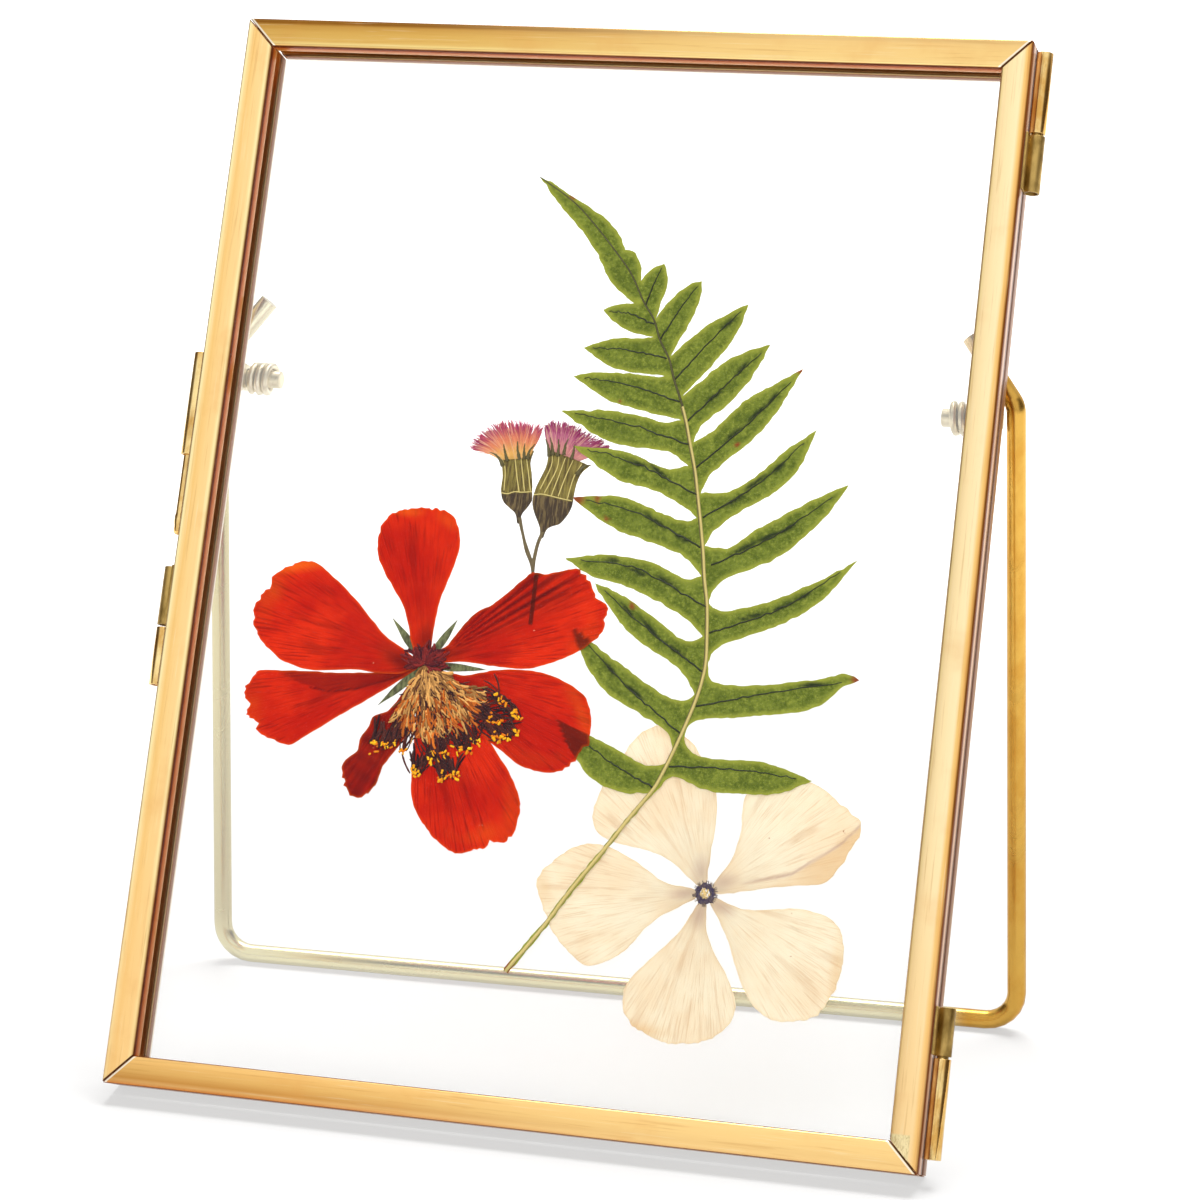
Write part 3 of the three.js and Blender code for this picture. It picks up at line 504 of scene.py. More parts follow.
# %% The stand's wire
# The wire is round already, so it needs smooth shading in place of a bevel.
stand_wire = merged_copy("stand_wire", "stand_wire_finished")
with editing(stand_wire):
    bpy.ops.mesh.tris_convert_to_quads()
stand_wire.data.materials.append(WIRE)
stand_wire.visible_diffuse = False
bpy.ops.object.shade_smooth_by_angle(angle=math.radians(50))
stand_in(stand_wire, "stand_wire", "stand")
print("wire faces:", len(stand_wire.data.polygons))

# %% [markdown]
# ## Glass
# Thin window glass hardly shows: a faint reflection and a trace of dust. The back pane carries a
# pale bloom that washes out what stands behind it, while the plants in front of it stay vivid.
# A shader that refracts would be truer to thick glass. At this thickness it would only add noise,
# so each pane is a nearly transparent sheet with dust in its alpha.


# %% Two panes
def pane_finish(name, tint, veil):
    """Glass of a faint tint, as opaque as its veil, and clear where the rail covers it."""
    made = Finish(name)
    x, y, z = made.add("SeparateXYZ", made.leaf()).outputs
    across = from_outside(made, x, y)[2]
    dust = made.noise(made.leaf((0.06, 0.06, 0.06)), 1.0, 5.0, 0.6)
    alpha = made.calc("MULTIPLY_ADD", made.band(dust, 0.3, 0.7), veil * 0.12, veil)
    alpha = made.times(alpha, made.band(across, FACE, FACE + 0.4))
    return made.done(made.principled(
        Base_Color=tint, Roughness=0.1, Alpha=alpha, Specular_IOR_Level=0.05))


for node, tint, veil in (("front_pane", rgb(120, 124, 122), 0.015),
                         ("back_pane", rgb(250, 252, 250), 0.09)):
    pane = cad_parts[node]
    pane.data.materials.clear()
    pane.data.materials.append(pane_finish(node + "_glass", tint, veil))
    # Clear glass casts no shadow worth showing, and bounced light need not stop at it.
    pane.visible_shadow = False
    pane.visible_diffuse = False
print("panes glazed")

# %% [markdown]
# ## Pressed sheets
# A petal or a blade is a thin sheet with a drawn outline. Its outline comes from the CAD node, is
# run through a smooth curve, and becomes one flat face. Straight cuts in two directions then
# divide the face, so that creases and wrinkles can be pressed into it before it gets its
# thickness. A grid trimmed to shape would leave steps along the edge, which these cuts don't.


# %% Outlines
def outline_of(node):
    """The front outline of a flat CAD node, in order, in leaf millimetres."""
    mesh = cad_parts[node].data
    to_board = LEAF.inverted()
    corners = [to_board @ vertex.co for vertex in mesh.vertices]
    front = max(corner.z for corner in corners)
    keys = [(round(c.x, 2), round(c.y, 2)) if c.z > front - 0.02 else None for c in corners]
    following = {}
    for face in mesh.polygons:
        ring = [keys[i] for i in face.vertices]
        if None in ring:
            continue
        for a, b in zip(ring, ring[1:] + ring[:1]):
            if following.get(b) == a or (b, a) in following:
                following.pop((b, a), None)
            else:
                following[(a, b)] = True
    step = {a: b for a, b in following if a != b}
    start = next(iter(step))
    ring = [start]
    while step[ring[-1]] != start and len(ring) < len(step) + 1:
        ring.append(step[ring[-1]])
    return ring


def smoothed(outline, spacing, ragged=0.0, seed=1):
    """A smooth closed curve through the outline, straight at its sharp corners, with a
    slightly ragged edge."""
    points = np.array(outline, float)
    back, ahead = points - np.roll(points, 1, 0), np.roll(points, -1, 0) - points
    reach_back = np.linalg.norm(back, axis=1)[:, None]
    reach_ahead = np.linalg.norm(ahead, axis=1)[:, None]
    straight = ((back * ahead).sum(1)[:, None] / (reach_back * reach_ahead)) > 0.55
    tangent = back / reach_back * reach_ahead + ahead / reach_ahead * reach_back
    tangent /= np.linalg.norm(tangent, axis=1)[:, None] + 1e-9
    curve = []
    for i in range(len(points)):
        j = (i + 1) % len(points)
        reach = reach_ahead[i, 0]
        leave = tangent[i] * reach if straight[i, 0] else ahead[i]
        arrive = tangent[j] * reach if straight[j, 0] else ahead[i]
        count = max(1, round(reach / spacing))
        for k in range(count):
            t = k / count
            curve.append((2 * t**3 - 3 * t**2 + 1) * points[i] + (t**3 - 2 * t**2 + t) * leave
                         + (3 * t**2 - 2 * t**3) * points[j] + (t**3 - t**2) * arrive)
    curve = np.array(curve)
    along = np.roll(curve, -1, 0) - np.roll(curve, 1, 0)
    outward = np.stack([along[:, 1], -along[:, 0]], 1)
    outward /= np.linalg.norm(outward, axis=1)[:, None] + 1e-9
    jitter = np.random.default_rng(seed).normal(0, ragged, len(curve))
    jitter = (jitter + np.roll(jitter, 1)) / 2
    return curve + outward * jitter[:, None]


def edge_distance(points, outline):
    """How far each point lies from the outline, in millimetres."""
    start, end = outline, np.roll(outline, -1, 0)
    span = end - start
    length = (span**2).sum(1) + 1e-12
    nearest = np.full(len(points), 1e9)
    for a, s, l in zip(start, span, length):
        t = np.clip(((points - a) @ s) / l, 0, 1)
        nearest = np.minimum(nearest, ((points - a - t[:, None] * s)**2).sum(1))
    return np.sqrt(nearest)


print("outline of the top petal:", len(outline_of("red_petal_top")), "points")


# %% Cutting, creasing and thickening a sheet
def cut_sheet(name, outline, across, along, angle=0.0):
    """A flat sheet inside the outline, divided by straight cuts in two directions."""
    bpy.ops.object.select_all(action="DESELECT")
    bpy.ops.mesh.primitive_circle_add(vertices=len(outline), radius=1, fill_type="NGON")
    sheet = bpy.context.object
    sheet.name = name
    for vertex, (x, y) in zip(sheet.data.vertices, outline):
        vertex.co = (x, y, 0)
    with editing(sheet):
        bpy.ops.mesh.quads_convert_to_tris(ngon_method="CLIP")
        for turned, spacing in ((angle, along), (angle + math.pi / 2, across)):
            normal = Vector((math.cos(turned), math.sin(turned), 0))
            reach = outline @ np.array(normal[:2])
            distance = reach.min() + spacing / 2
            while distance < reach.max():
                bpy.ops.mesh.select_all(action="SELECT")
                bpy.ops.mesh.bisect(plane_co=normal * distance, plane_no=normal)
                distance += spacing
    return sheet


def spots(sheet):
    """The sheet's points as an array of x and y."""
    flat = np.empty(len(sheet.data.vertices) * 3)
    sheet.data.vertices.foreach_get("co", flat)
    return flat.reshape(-1, 3)[:, :2]


def paint(sheet, name, values):
    """Gives the sheet a named number at each point, for its material to read."""
    layer = sheet.data.attributes.new(name, "FLOAT", "POINT")
    layer.data.foreach_set("value", np.asarray(values, np.float32))


def wrap(sheet, name, u, v):
    """Gives the sheet a UV map from two numbers at each point."""
    layer = sheet.data.uv_layers.new(name=name)
    corner = np.empty(len(sheet.data.loops), int)
    sheet.data.loops.foreach_get("vertex_index", corner)
    layer.data.foreach_set("uv", np.stack([u[corner], v[corner]], 1).ravel().astype(np.float32))


def press(sheet, heights, thickness):
    """Lifts the sheet's points to their heights, thickens it and leans it back."""
    flat = np.column_stack([spots(sheet), heights])
    sheet.data.vertices.foreach_set("co", flat.ravel())
    apply(sheet, "SOLIDIFY", thickness=thickness, offset=0)
    with editing(sheet):
        bpy.ops.mesh.normals_make_consistent(inside=False)
    bpy.ops.object.shade_smooth_by_angle(angle=math.radians(50))
    sheet.data.transform(LEAF)
    return sheet


def ripple(rng, a, b, low, high, count=7):
    """Uneven parallel wrinkles: a sum of waves across a that drift slowly along b."""
    total = np.zeros(len(a))
    for _ in range(count):
        wave, drift, phase = rng.uniform(low, high), rng.uniform(-0.08, 0.08), rng.uniform(0, 6.3)
        total += np.sin(2 * math.pi * (wave * a + drift * b) + phase)
    return total / count


print("sheet tools ready")

# %% [markdown]
# ## Threads
# Veins, florets and hairs are all thin tapering threads. Hair particles could draw them, but they
# are no mesh and would be lost when the object is handed on. Each thread is swept as a small
# flattened diamond along its path, and hundreds of them are joined in one mesh, with a number
# along each thread and a shade of its own for the material to read.


# %% Sweeping threads
def threads(name, paths, flat=0.5):
    """paths is a list of (points, widths, height, shade), in leaf millimetres."""
    verts, faces, along, tone = [], [], [], []
    for points, widths, level, shade in paths:
        points = np.array(points, float)
        run = np.gradient(points, axis=0)
        run /= np.linalg.norm(run, axis=1)[:, None] + 1e-9
        levels = np.broadcast_to(level, len(points))
        first = len(verts)
        for i, ((x, y), (dx, dy)) in enumerate(zip(points, run)):
            half = widths[i] / 2
            z = levels[i]
            verts += [(x - dy * half, y + dx * half, z), (x, y, z + half * flat),
                      (x + dy * half, y - dx * half, z), (x, y, z - half * flat)]
            along += [i / (len(points) - 1)] * 4
            tone += [shade] * 4
            if i:
                a, b = first + 4 * (i - 1), first + 4 * i
                faces += [(a + k, b + k, b + (k + 1) % 4, a + (k + 1) % 4) for k in range(4)]
        last = first + 4 * (len(points) - 1)
        faces += [(first, first + 1, first + 2, first + 3), (last + 3, last + 2, last + 1, last)]
    mesh = bpy.data.meshes.new(name)
    mesh.from_pydata(verts, [], faces)
    piece = bpy.data.objects.new(name, mesh)
    bpy.context.scene.collection.objects.link(piece)
    paint(piece, "along", along)
    paint(piece, "tone", tone)
    with editing(piece):
        bpy.ops.mesh.normals_make_consistent(inside=False)
    bpy.ops.object.shade_smooth()
    mesh.transform(LEAF)
    return piece


def join(main, *others):
    """Joins the others into main, as one piece."""
    bpy.ops.object.select_all(action="DESELECT")
    for other in others:
        other.select_set(True)
    main.select_set(True)
    bpy.context.view_layer.objects.active = main
    bpy.ops.object.join()
    return main


def curve_through(points, steps=6):
    """A smooth open curve through a few points."""
    points = [np.array(p, float) for p in points]
    ends = [2 * points[0] - points[1]] + points + [2 * points[-1] - points[-2]]
    out = []
    for a, b, c, d in zip(ends, ends[1:], ends[2:], ends[3:]):
        for k in range(steps):
            t = k / steps
            out.append(0.5 * (2 * b + (c - a) * t + (2 * a - 5 * b + 4 * c - d) * t**2
                              + (3 * b - a - 3 * c + d) * t**3))
    return np.array(out + [points[-1]])


print("thread tools ready")

# %% [markdown]
# ## Petal finish
# A dried petal is a film of colour with fine veins that fan out from its base. It lets some light
# through, and the darker shape of whatever lies behind it is painted on as shade. The veins could
# be painted one by one. Here a noise is stretched along a UV map that counts round the flower and
# outwards from its centre, so that they fan by themselves and no two petals match.


# %% Petals
def petal_finish(name, bright, deep, dark, warm, vein, fleck, through, veined, rim):
    """Six colours, the share of light that passes through, and how strong veins and rim are."""
    made = Finish(name)
    fine = made.noise(made.uv("fan", (7.5, 0.16, 1)), 1.0, 3.0, 0.6, 0.4)
    broad = made.noise(made.uv("fan", (0.5, 0.07, 1)), 1.0, 3.0, 0.5, 0.2)
    clouds = made.noise(made.leaf((0.09, 0.09, 0.09)), 1.0, 4.0, 0.6)
    grain = made.noise(made.leaf((2.4, 2.4, 2.4)), 1.0, 3.0, 0.7)
    colour = made.mix(made.band(clouds, 0.35, 0.66), deep, bright)
    colour = made.tint(colour, vein, made.band(fine, 0.52, 0.64), veined)
    colour = made.tint(colour, vein, made.band(broad, 0.56, 0.7), veined * 0.7)
    colour = made.tint(colour, deep, made.band(grain, 0.5, 0.85), 0.25)
    colour = made.mix(made.attribute("warm"), colour, warm)
    # Dark stains, and painted shade along the odd petals' folds.
    colour = made.mix(made.attribute("dark"), colour, dark)
    # Painted shade where the frond lies behind the petal.
    colour = made.mix(made.attribute("behind"), colour, rgb(92, 26, 12))
    # Painted shade: the foot of the bud stalk behind the upper right petal, as a dark line.
    x, y, z = made.add("SeparateXYZ", made.leaf()).outputs
    off_line = made.calc("ABSOLUTE", made.calc("ADD", x, 5.73))
    foot = made.times(made.times(made.band(y, 80.2, 80.7), 0.8),
                      made.rest(made.band(off_line, 0.26, 0.44)))
    colour = made.mix(foot, colour, rgb(84, 24, 14))
    speck = made.band(made.noise(made.leaf((0.9, 0.9, 0.9)), 1.0, 1.0, 0.5, 0.6), 0.79, 0.82)
    colour = made.tint(colour, fleck, speck, 0.7)
    margin = made.rest(made.band(made.attribute("edge"), 0.0, 0.5))
    colour = made.tint(colour, warm, margin, rim)
    relief = made.calc("ADD", fine, made.times(grain, 0.35))
    return made.film(colour, through, Roughness=0.55, Specular_IOR_Level=0.07,
                     Normal=made.bump(relief, 0.00016, 0.8))


RED = petal_finish("red_petal_film", rgb(236, 52, 10), rgb(212, 28, 6), rgb(92, 6, 14),
                   rgb(246, 110, 16), rgb(150, 10, 6), rgb(255, 190, 150), 0.4, 0.6, 0.35)
CREAM = petal_finish("cream_petal_film", rgb(255, 248, 228), rgb(253, 240, 214),
                     rgb(196, 160, 146), rgb(238, 204, 144), rgb(226, 194, 150),
                     rgb(176, 120, 70), 0.45, 0.42, 0.2)
print("petal finishes:", RED.name, CREAM.name)

# %% [markdown]
# ## One petal
# A petal narrows to a claw at the hub, its sides are smooth and its outer end is nicked and frayed.
# Twelve petals could be sculpted one by one. They are cut by one function instead, which takes an
# outline, wrinkles it, stains it and thickens it, so that each petal's own line in a table holds
# only what makes it different.


# %% Stains, claws and what lies inside
def patch(points, x, y, reach_x, reach_y, angle=0.0, soft=0.9):
    """1 inside a tilted oval, fading to 0 at its edge."""
    dx, dy = points[:, 0] - x, points[:, 1] - y
    c, s = math.cos(math.radians(angle)), math.sin(math.radians(angle))
    reach = np.hypot((dx * c + dy * s) / reach_x, (dy * c - dx * s) / reach_y)
    return np.clip((1 - reach) / soft, 0, 1)


def blots(points, places):
    """The strongest of several patches at each point, from (strength, x, y, ...) places."""
    found = np.zeros(len(points))
    for strength, *place in places:
        found = np.maximum(found, strength * patch(points, *place))
    return found


def reach_in(outline, hub, near, to):
    """Draws the part of an outline that is near the hub in towards it, as a petal's claw."""
    away = np.array(outline, float) - hub
    reach = np.hypot(*away.T)
    drawn = np.interp(reach, [reach.min(), near, 99], [to, near, 99])
    return np.array(hub) + away * (drawn / reach)[:, None]


def inside(points, outline):
    """Which points lie inside a closed outline."""
    x, y = points.T
    found = np.zeros(len(points), bool)
    for (ax, ay), (bx, by) in zip(outline, np.roll(outline, -1, 0)):
        if ay != by:
            crosses = (ay > y) != (by > y)
            found ^= crosses & (x < (bx - ax) * (y - ay) / (by - ay) + ax)
    return found


print("stain and claw tools ready")


# %% The petal function
FILM = 0.06         # thickness of a pressed sheet, in millimetres
CUTS = (0.3, 0.7)   # spacing of a petal's cuts across and along it


def petal(node, hub, material, slot, front, creases, dark, warm, extra, seed,
          ragged=0.05, claw=(5, 1.2), nicks=0.17, shadow=None):
    """One petal: outline, cuts, wrinkles that fan from the hub, stains, painted shade and
    thickness.
    """
    rng = np.random.default_rng(seed)
    outline = smoothed(reach_in(outline_of(node), hub, *claw), 0.6, ragged, seed)
    # The outer end is nicked and frayed; the sides are smooth.
    reach = np.hypot(*(outline - hub).T)
    fray = rng.normal(0, nicks, len(outline)) * np.clip(reach / reach.max() * 3.3 - 2.3, 0, 1)
    outline = outline + (outline - hub) * (fray / reach)[:, None]
    centre = outline.mean(0)
    heading = math.atan2(centre[1] - hub[1], centre[0] - hub[0])
    sheet = cut_sheet(node + "_pressed", outline, *CUTS, heading)
    points = spots(sheet)
    dx, dy = points[:, 0] - hub[0], points[:, 1] - hub[1]
    radius = np.hypot(dx, dy)
    bearing = (np.arctan2(dy, dx) - heading + math.pi) % (2 * math.pi) - math.pi
    fan = bearing * 15
    edge = edge_distance(points, outline)
    wrinkles = ripple(rng, fan, radius, 0.15, 0.9) * creases * np.clip(edge / 1.5, 0.25, 1)
    stain_and_shade = blots(points, dark)
    flush = blots(points, warm) * np.clip(1.15 - edge / 3, 0, 1)
    if extra:
        stain_and_shade, flush, wrinkles = extra(points, radius, fan, edge, stain_and_shade, flush, wrinkles, rng)
    paint(sheet, "dark", stain_and_shade)
    paint(sheet, "warm", flush)
    paint(sheet, "edge", edge)
    # Painted shade where the frond's outline lies behind the petal.
    shade_behind = np.zeros(len(points), bool) if shadow is None else inside(points, shadow)
    paint(sheet, "behind", 0.75 * shade_behind)
    wrap(sheet, "fan", fan + seed * 7.3, radius)
    sheet.data.materials.append(material)
    press(sheet, front - 0.035 + wrinkles, FILM)
    stand_in(sheet, node, "back_leaf")
    return sheet


print("a petal is", FILM, "mm thick")

# %% [markdown]
# ## The red flower
# Seven petals lie over and under each other round a crushed disc. Three of them dried in a way of
# their own: one crumpled, one folded in ridges, and one with a flap turned back. Each of these is
# a small function that changes the stains, the painted shade along the folds and the wrinkles at
# every point, which keeps the odd shapes out of the function that all petals share.

# %% Three odd petals
RED_HUB = (-22.7, 72.6)
OVER, UNDER = -4.05, -4.17      # the front of the petals that lie over and under others


def crumpled(points, radius, fan, edge, stain_and_shade, flush, wrinkles, rng):
    """The lower left petal dried crumpled and dark, with painted shade along its folds."""
    folds = ripple(rng, fan, radius, 0.3, 1.2) + ripple(rng, radius, fan, 0.2, 0.6)
    return np.maximum(stain_and_shade, 0.55 + 0.3 * folds), flush, wrinkles + 0.05 * folds


def ridged(points, radius, fan, edge, stain_and_shade, flush, wrinkles, rng):
    """The upper half of this petal folded into deep parallel ridges, darkened by painted shade."""
    upper = np.clip((fan + 0.5) / 2.5, 0, 1)
    ridges = np.sin(fan * 2 * math.pi * 0.95) * 0.6 + ripple(rng, fan, radius, 0.8, 1.6) * 1.2
    fading = np.clip((34 - radius) / 9, 0, 1)
    stain_and_shade = np.maximum(stain_and_shade, upper * fading * np.clip(0.35 + 0.55 * ridges, 0, 0.85))
    return stain_and_shade, flush, wrinkles + 0.05 * upper * ridges


def folded_back(points, radius, fan, edge, stain_and_shade, flush, wrinkles, rng):
    """The left petal's upper side is a purplish flap; painted shade marks its curved fold."""
    bound = np.interp(points[:, 0], [-48.5, -43.7, -38.4, -33.3, -26.7],
                      [69.8, 67.8, 67.1, 68.0, 70.5])
    flap = np.clip((points[:, 1] - bound) / 0.35, 0, 1) * (points[:, 0] > -49)
    fold = np.exp(-((points[:, 1] - bound + 0.1) / 0.16)**2) * (points[:, 0] > -42)
    return np.maximum(stain_and_shade, np.maximum(0.42 * flap, 0.95 * fold)), flush, wrinkles


print("odd shapes ready for three petals")

# %% Seven red petals
# Layer, depth of the wrinkles, dark stains, warm stains and an odd shape for each petal.
RED_PETALS = {
    "top": (OVER, 0.03, [(0.5, -22.4, 75.5, 3, 5)],
            [(0.7, -28.6, 97.6, 3.4, 1.1), (0.5, -22, 96.5, 3, 1.5, -30)], None),
    "upper_left": (OVER, 0.03, [(0.6, -27, 73, 6, 2, -30)],
                   [(1.0, -46.5, 87.4, 7, 1.6, 12), (0.45, -50, 82, 4, 6, 0)], None),
    "left": (UNDER, 0.025, [(0.6, -28, 70.6, 6, 2, 20)], [(0.25, -51, 64, 3, 5)], folded_back),
    "lower_left": (UNDER, 0.03, [], [], crumpled),
    "bottom": (OVER, 0.03, [(0.35, -19, 64, 5, 8)],
               [(0.6, -10, 47, 7, 3, 10), (0.4, -6, 50, 3, 6)], None),
    "lower_right": (UNDER, 0.03, [(0.3, -14, 69, 7, 3, -25)],
                    [(0.6, 4, 67, 2, 6, 30), (0.3, -2, 60, 6, 3)], None),
    "upper_right": (OVER, 0.03, [(0.4, -18, 75, 4, 2, 40)], [(0.35, 3, 80, 4, 5)], ridged),
}
# The frond's lowest tips are painted on the red petals as dark shade where they lie behind.
FROND_OUTLINE = np.array(outline_of("fern_frond"))
for seed, (where, shape) in enumerate(RED_PETALS.items(), 11):
    petal(f"red_petal_{where}", RED_HUB, RED, "petal_red", *shape, seed, shadow=FROND_OUTLINE)
print("red petals:", len(RED_PETALS))

# %% [markdown]
# ## Bracts and disc
# Green bracts peep out between the petals. The disc in the middle was crushed to one side, so its
# florets fan out below the hub: straw-coloured tubes, then dark stamens, then yellow tips. A
# bumpy lump would do from far away. More than a thousand bent threads in five colours give it the
# depth and the ragged edge that a pressed flower head has when it is seen close by.

# %% Bracts
made = Finish("dried_bract")
grain = made.noise(made.leaf((2, 0.8, 1)), 1.0, 4.0, 0.6)
colour = made.mix(made.band(grain, 0.35, 0.65), rgb(62, 62, 34), rgb(112, 118, 72))
BRACT = made.done(made.principled(Base_Color=colour, Roughness=0.7,
                                  Normal=made.bump(grain, 0.0001)))
BRACT_LEVEL = -4.32
bracts = cut_sheet("red_bracts_pressed", smoothed(outline_of("red_bracts"), 0.8, 0.03, 5), 0.6, 0.6)
bracts.data.materials.append(BRACT)
press(bracts, np.full(len(spots(bracts)), BRACT_LEVEL), FILM)
stand_in(bracts, "red_bracts", "back_leaf")
print("bract faces:", len(bracts.data.polygons))

# %% Floret colours
def two_tone(name, low, high, roughness=0.75, shine=0.15):
    """A finish that runs from one colour to another with each thread's own shade."""
    made = Finish(name)
    return made.done(made.principled(Base_Color=made.mix(made.attribute("tone"), low, high),
                                     Roughness=roughness, Specular_IOR_Level=shine))


# Straw down to dark brown: partly the florets' own tone, partly painted shade between them.
STRAW = two_tone("straw_floret", rgb(84, 44, 20), rgb(236, 176, 98))
EMBER = two_tone("orange_floret", rgb(130, 62, 20), rgb(220, 116, 38))
STAMEN = two_tone("dark_stamen", rgb(34, 16, 24), rgb(88, 40, 34))
POLLEN = two_tone("yellow_pollen", rgb(224, 110, 10), rgb(255, 200, 30))
CRUMPLE = two_tone("crumpled_hub", rgb(58, 14, 26), rgb(132, 36, 34))
print("floret finishes:", ", ".join(m.name for m in (STRAW, EMBER, STAMEN, POLLEN, CRUMPLE)))

# %% One floret and where it grows
chance = random.Random(8)
# Where the disc's outermost florets end in a cluster of stamens and pollen.
DISC_TIPS = [(-29.9, 59.0), (-28.6, 58.6), (-27.8, 58.7), (-26.2, 59.4), (-24.5, 58.5),
             (-22.4, 55.2), (-21.6, 54.8), (-19.8, 57.5), (-19.0, 57.6), (-17.6, 54.3),
             (-17.0, 54.5), (-15.6, 55.0), (-15.2, 55.5), (-13.3, 59.2), (-12.4, 60.6),
             (-9.4, 62.0), (-8.4, 61.7), (-7.0, 61.8), (-5.9, 62.4), (-5.8, 65.1), (-6.4, 66.0),
             (-8.2, 67.2), (-9.4, 68.2), (-8.8, 64.4), (-10.6, 64.6), (-17.6, 58.6), (-15.0, 59.4)]


def strand(x, y, heading, reach, width, level):
    """A short bent thread that sets off from x, y in a heading, with a random shade."""
    bend = chance.uniform(-0.14, 0.14) * reach
    ahead = np.array([math.cos(heading), math.sin(heading)])
    side = np.array([-ahead[1], ahead[0]])
    points = [np.array([x, y]) + ahead * reach * t + side * bend * math.sin(math.pi * t)
              for t in (0, 0.2, 0.4, 0.6, 0.8, 1)]
    widths = [width * f for f in (0.6, 1.0, 0.9, 1.0, 1.1, 0.6)]
    return points, widths, level + chance.uniform(-0.04, 0.04), chance.random()


def out_of_hub(reach, lean):
    """The point at a distance from the red flower's hub, in a direction."""
    return RED_HUB[0] + reach * math.cos(lean), RED_HUB[1] + reach * math.sin(lean)


def fan_edge(lean):
    """How far the straw fan reaches in a direction, in degrees below the hub's right."""
    return float(np.interp(lean, [-118, -95, -70, -45, -20], [10.5, 12.5, 14.5, 14.0, 12.5]))


print("clusters round the disc:", len(DISC_TIPS))

# %% The crushed disc
FAN_STRAWS, FAN_STAMENS, TIP_STAMENS, TIP_POLLEN, HUB_SCRAPS = 560, 330, 9, 5, 150
straw, embers, stamens, pollen, crumple = [], [], [], [], []
for _ in range(FAN_STRAWS):
    lean = chance.uniform(-116, -20)
    root = chance.uniform(0, 1)**0.7 * (fan_edge(lean) - 2.5)
    x, y = out_of_hub(root, math.radians(lean))
    heading = math.radians(lean + chance.gauss(0, 18))
    group = embers if root > 4.5 and chance.random() < 0.4 else straw
    group.append(strand(x, y, heading, chance.uniform(0.9, 3.4), chance.uniform(0.18, 0.6), -3.95))
for _ in range(FAN_STAMENS):
    lean = chance.uniform(-114, -22)
    x, y = out_of_hub(chance.uniform(1.5, fan_edge(lean)), math.radians(lean))
    heading = math.radians(lean + chance.gauss(0, 22))
    stamens.append(strand(x, y, heading, chance.uniform(0.8, 2.2), chance.uniform(0.14, 0.3),
                          -3.93))
for x, y in DISC_TIPS:
    back = math.atan2(RED_HUB[1] - y, RED_HUB[0] - x)
    for _ in range(TIP_STAMENS):
        heading = back + chance.gauss(0, 0.35)
        stamens.append(strand(x + chance.gauss(0, 0.35), y + chance.gauss(0, 0.35), heading,
                              chance.uniform(2.2, 4.2), chance.uniform(0.2, 0.42), -3.93))
    for _ in range(TIP_POLLEN):
        pollen.append(strand(x + chance.gauss(0, 0.4), y + chance.gauss(0, 0.4),
                             chance.uniform(0, 6.3), chance.uniform(0.4, 0.9),
                             chance.uniform(0.3, 0.5), -3.9))
for _ in range(HUB_SCRAPS):
    lean = chance.uniform(-30, 190)
    x, y = out_of_hub(chance.uniform(0, 2.6), math.radians(lean))
    crumple.append(strand(x, y, math.radians(lean + chance.gauss(0, 30)), chance.uniform(0.8, 2.2),
                          chance.uniform(0.3, 0.6), -3.97))
parts = []
for name, paths, material in (("disc_straw", straw, STRAW), ("disc_embers", embers, EMBER),
                              ("disc_stamens", stamens, STAMEN), ("disc_pollen", pollen, POLLEN),
                              ("disc_crumple", crumple, CRUMPLE)):
    bundle = threads(name, paths, flat=0.4)
    bundle.data.materials.append(material)
    parts.append(bundle)
disc = join(parts[0], *parts[1:])
disc.name = "red_disc_florets"
stand_in(disc, "red_disc", "back_leaf")
print("florets:", sum(len(group) for group in (straw, embers, stamens, pollen, crumple)))

# %% [markdown]
# ## The fern frond
# The blade is one sheet with a straw-coloured midrib. Each lobe has a thin dark vein of its own.
# The green is mottled, paler at the margins, and creased along the veins of the lower lobes, where
# painted shade darkens the creases. The veins are drawn first, because the blade is shaped around
# them: each point's distance from its nearest vein is its place on a UV map, and the creases are
# laid along the veins. A texture on flat coordinates would run straight across the lobes instead.

# %% Frond veins
RACHIS = [(-13.6, 155.4), (-7.4, 151.5), (-3.1, 147.6), (1.2, 143), (4.2, 139.4), (6.6, 135.2),
          (8.8, 132.1), (10.2, 128.8), (12.1, 125.7), (13.3, 122.4), (14.7, 119.3), (16.1, 115.8),
          (17.2, 112.2), (18.6, 107.6), (19.5, 103.7), (20.5, 99.2), (21.5, 94.3), (22.2, 90.1),
          (23.1, 86), (23.6, 81.8), (24, 76.8), (23.7, 73.4), (23, 70.1), (21.8, 66.1),
          (20.1, 61.1), (18.7, 57.5), (17.6, 55.3), (14.5, 50.8), (10.7, 45), (6.2, 38.4),
          (2.3, 32), (-2.9, 24.6)]
RIGHT_ROOTS = [(7.1, 134.5), (10.2, 128.8), (13.5, 122.4), (16.4, 115.6), (18.7, 108),
               (20.8, 99.9), (23, 92.3), (24.0, 81.3), (23.2, 69.4), (19.9, 59.4)]
RIGHT_TIPS = [(9.3, 141.5), (16.1, 139), (24.3, 135.5), (28.6, 128.9), (34.4, 125.2),
              (37.8, 115.4), (43.8, 106.6), (46.6, 94.6), (49.1, 75.6), (43.2, 59.1)]
LEFT_ROOTS = [(8.9, 131.4), (11.7, 125.7), (14.7, 118.7), (17.1, 111.8), (19.4, 103.6),
              (20.9, 95), (23, 85.5), (23.5, 75), (21.1, 64.9), (17.6, 55.8)]
LEFT_TIPS = [(0.2, 133.3), (-2.5, 126.8), (-3.7, 122), (-5, 116.1), (-2.1, 110.4),
             (-1.4, 101.9), (-1.3, 91.8), (3.8, 88.4), (1.6, 80.3), (0.6, 65.4)]
